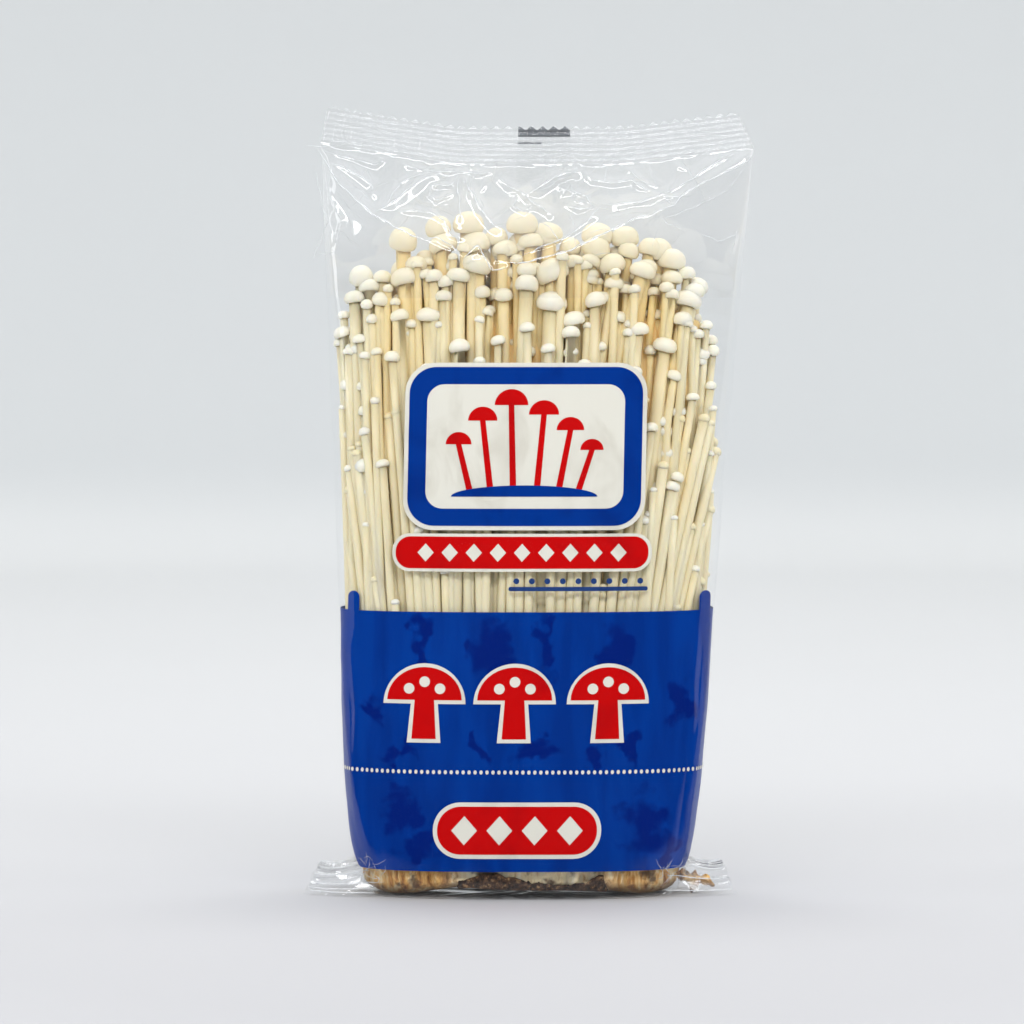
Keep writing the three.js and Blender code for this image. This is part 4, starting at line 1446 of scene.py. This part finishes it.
# Lamps: name, place, size, power in watts
LAMPS = [
    ("bar", (0.0, -0.8, 0.78), (1.7, 0.1), 6.7),
    ("top", (0.05, 0.3, 1.2), (0.9, 0.4), 6.5),
    ("left", (-1.05, -0.25, 0.5), (0.2, 0.8), 1.4),
    ("right", (1.05, -0.3, 0.55), (0.16, 0.7), 1.2),
]


# Greys of the studio: near floor, far floor, wall. The near floor is darker: painted shade near and in front
# of the pack
PAPER_NEAR_SHADED = ((0.3, (0.435, 0.434, 0.448)), (0.7, (0.445, 0.444, 0.458)))
PAPER_FAR = ((0.3, (0.815, 0.82, 0.815)), (0.7, (0.825, 0.83, 0.825)))
PAPER_WALL = ((0.3, (0.69, 0.705, 0.708)), (0.7, (0.7, 0.715, 0.718)))
# The bowl, in metres: where its flat floor ends, how round its edge is, how high its wall
FLAT_TO = 1.25
BOWL_ROUND = 0.35
WALL_HIGH = 0.9


def studio_material():
    """Pale paper, painted darker near and in front of the pack as shade. Gloss mirrors the floor in front of
    the pack as dark, a painted reflection.
    """
    n = Nodes("studio_paper")
    grain = n.noise((3, 3, 3), detail=2.0)
    near, far, wall = (n.ramp(grain, stops) for stops in (PAPER_NEAR_SHADED, PAPER_FAR, PAPER_WALL))
    axes = n.axes()
    beside = n.maths("SUBTRACT", n.maths("ABSOLUTE", axes["X"]), 0.25)
    before = n.maths("MULTIPLY_ADD", axes["Y"], -1.0, -0.4)
    distance = n.maths("MAXIMUM", axes["Y"], n.maths("MAXIMUM", beside, before))
    ground = n.mix(n.reach(distance, -0.3, 1.35, kind="LINEAR"), near, far)
    paper = n.principled(n.mix(n.reach(axes["Z"], 0.0, 0.05), ground, wall), 0.9)
    dark = n.add("Emission", {"Color": (0.95, 0.975, 1.0), "Strength": AIR_MIRRORED})
    path = n.add("LightPath")
    mirrored = n.maths("MULTIPLY", path.outputs["Is Glossy Ray"], n.reach(axes["Y"], -0.018, -0.045))
    return n.finish(n.mix_shader(mirrored, paper, dark.outputs[0]))


def build_studio():
    """A pale bowl: floor, soft curve and low wall, the same from every side."""
    wide = FLAT_TO + BOWL_ROUND
    profile = [(0.4, 0), (0.8, 0), (FLAT_TO, 0)]
    for a in np.linspace(0.1, math.pi / 2, 14):
        profile.append((FLAT_TO + BOWL_ROUND * math.sin(a), BOWL_ROUND * (1 - math.cos(a))))
    profile += [(wide, 0.6), (wide, WALL_HIGH)]
    sides = 96
    turn = circle(sides)
    rings = [np.stack([r * np.cos(turn), r * np.sin(turn), np.full(sides, high)], -1) for r, high in profile]
    faces = [[0, 1 + i, 1 + (i + 1) % sides] for i in range(sides)]
    faces += [[1 + v for v in quad[::-1]] for quad in grid_faces(len(profile), sides, closed=True).tolist()]
    mesh = bpy.data.meshes.new("studio")
    mesh.from_pydata([(0, 0, 0), *np.concatenate(rings).tolist()], [], faces)
    mesh.materials.append(studio_material())
    mesh.polygons.foreach_set("use_smooth", [True] * len(mesh.polygons))
    floor = bpy.data.objects.new("studio", mesh)
    bpy.context.collection.objects.link(floor)


def look_along(thing, place, direction):
    """Puts a lamp or camera at a place and turns it to a direction."""
    thing.location = place
    thing.rotation_mode = "QUATERNION"
    thing.rotation_quaternion = direction.to_track_quat("-Z", "Y")
    bpy.context.collection.objects.link(thing)


def add_lamp(name, place, size, power):
    data = bpy.data.lights.new(name, "AREA")
    data.shape = "RECTANGLE"
    data.size, data.size_y = size
    data.energy = power
    look_along(bpy.data.objects.new(name, data), place, Vector(LAMP_AIM) - Vector(place))


def build_lights():
    """Even pale air, a darker room in front that only gloss mirrors, and soft lamps."""
    n = Nodes("studio_air", "worlds", "OutputWorld")
    split = n.add("SeparateXYZ", {0: n.add("TexCoord").outputs["Generated"]})
    path = n.add("LightPath")
    front = n.reach(split.outputs["Y"], 0.35, -0.65)
    mirrored = n.maths("MULTIPLY", front, path.outputs["Is Glossy Ray"])
    strength = n.add("Mix", {0: mirrored, 2: AIR_LIGHT, 3: AIR_MIRRORED}).outputs[0]
    background = n.add("Background", {"Color": (0.955, 0.975, 1.0), "Strength": strength})
    bpy.context.scene.world = n.finish(background.outputs[0])
    for lamp in LAMPS:
        add_lamp(*lamp)


# ---------------------------------------------------------------- camera

CAMERA = {"target": (-0.00408, 0, 0.0896), "distance": 1.2, "elevation": 2.8, "lens": 179.3}


def build_camera():
    data = bpy.data.cameras.new("camera")
    data.lens = CAMERA["lens"]
    data.sensor_width = 36
    camera = bpy.data.objects.new("camera", data)
    turn = math.radians(CAMERA["elevation"])
    away = Vector((0, -math.cos(turn), math.sin(turn)))
    look_along(camera, Vector(CAMERA["target"]) + away * CAMERA["distance"], -away)
    bpy.context.scene.camera = camera


build_camera()
build_studio()
build_lights()
build_bunch()
build_core()
build_root()
build_medium()
build_tube()
build_head()
build_creases()
build_vent()
build_seam()
build_band()
build_badge()
build_prints()
build_dots()
build_eye_mark()
build_ear(-1, "film_ear_left")
build_ear(1, "film_ear_right")
add_joined("ear_ribs", ear_ribs(-1) + ear_ribs(1), [CREASE], "clear_film")
build_scrap()
bpy.context.scene.view_settings.view_transform = "Standard"
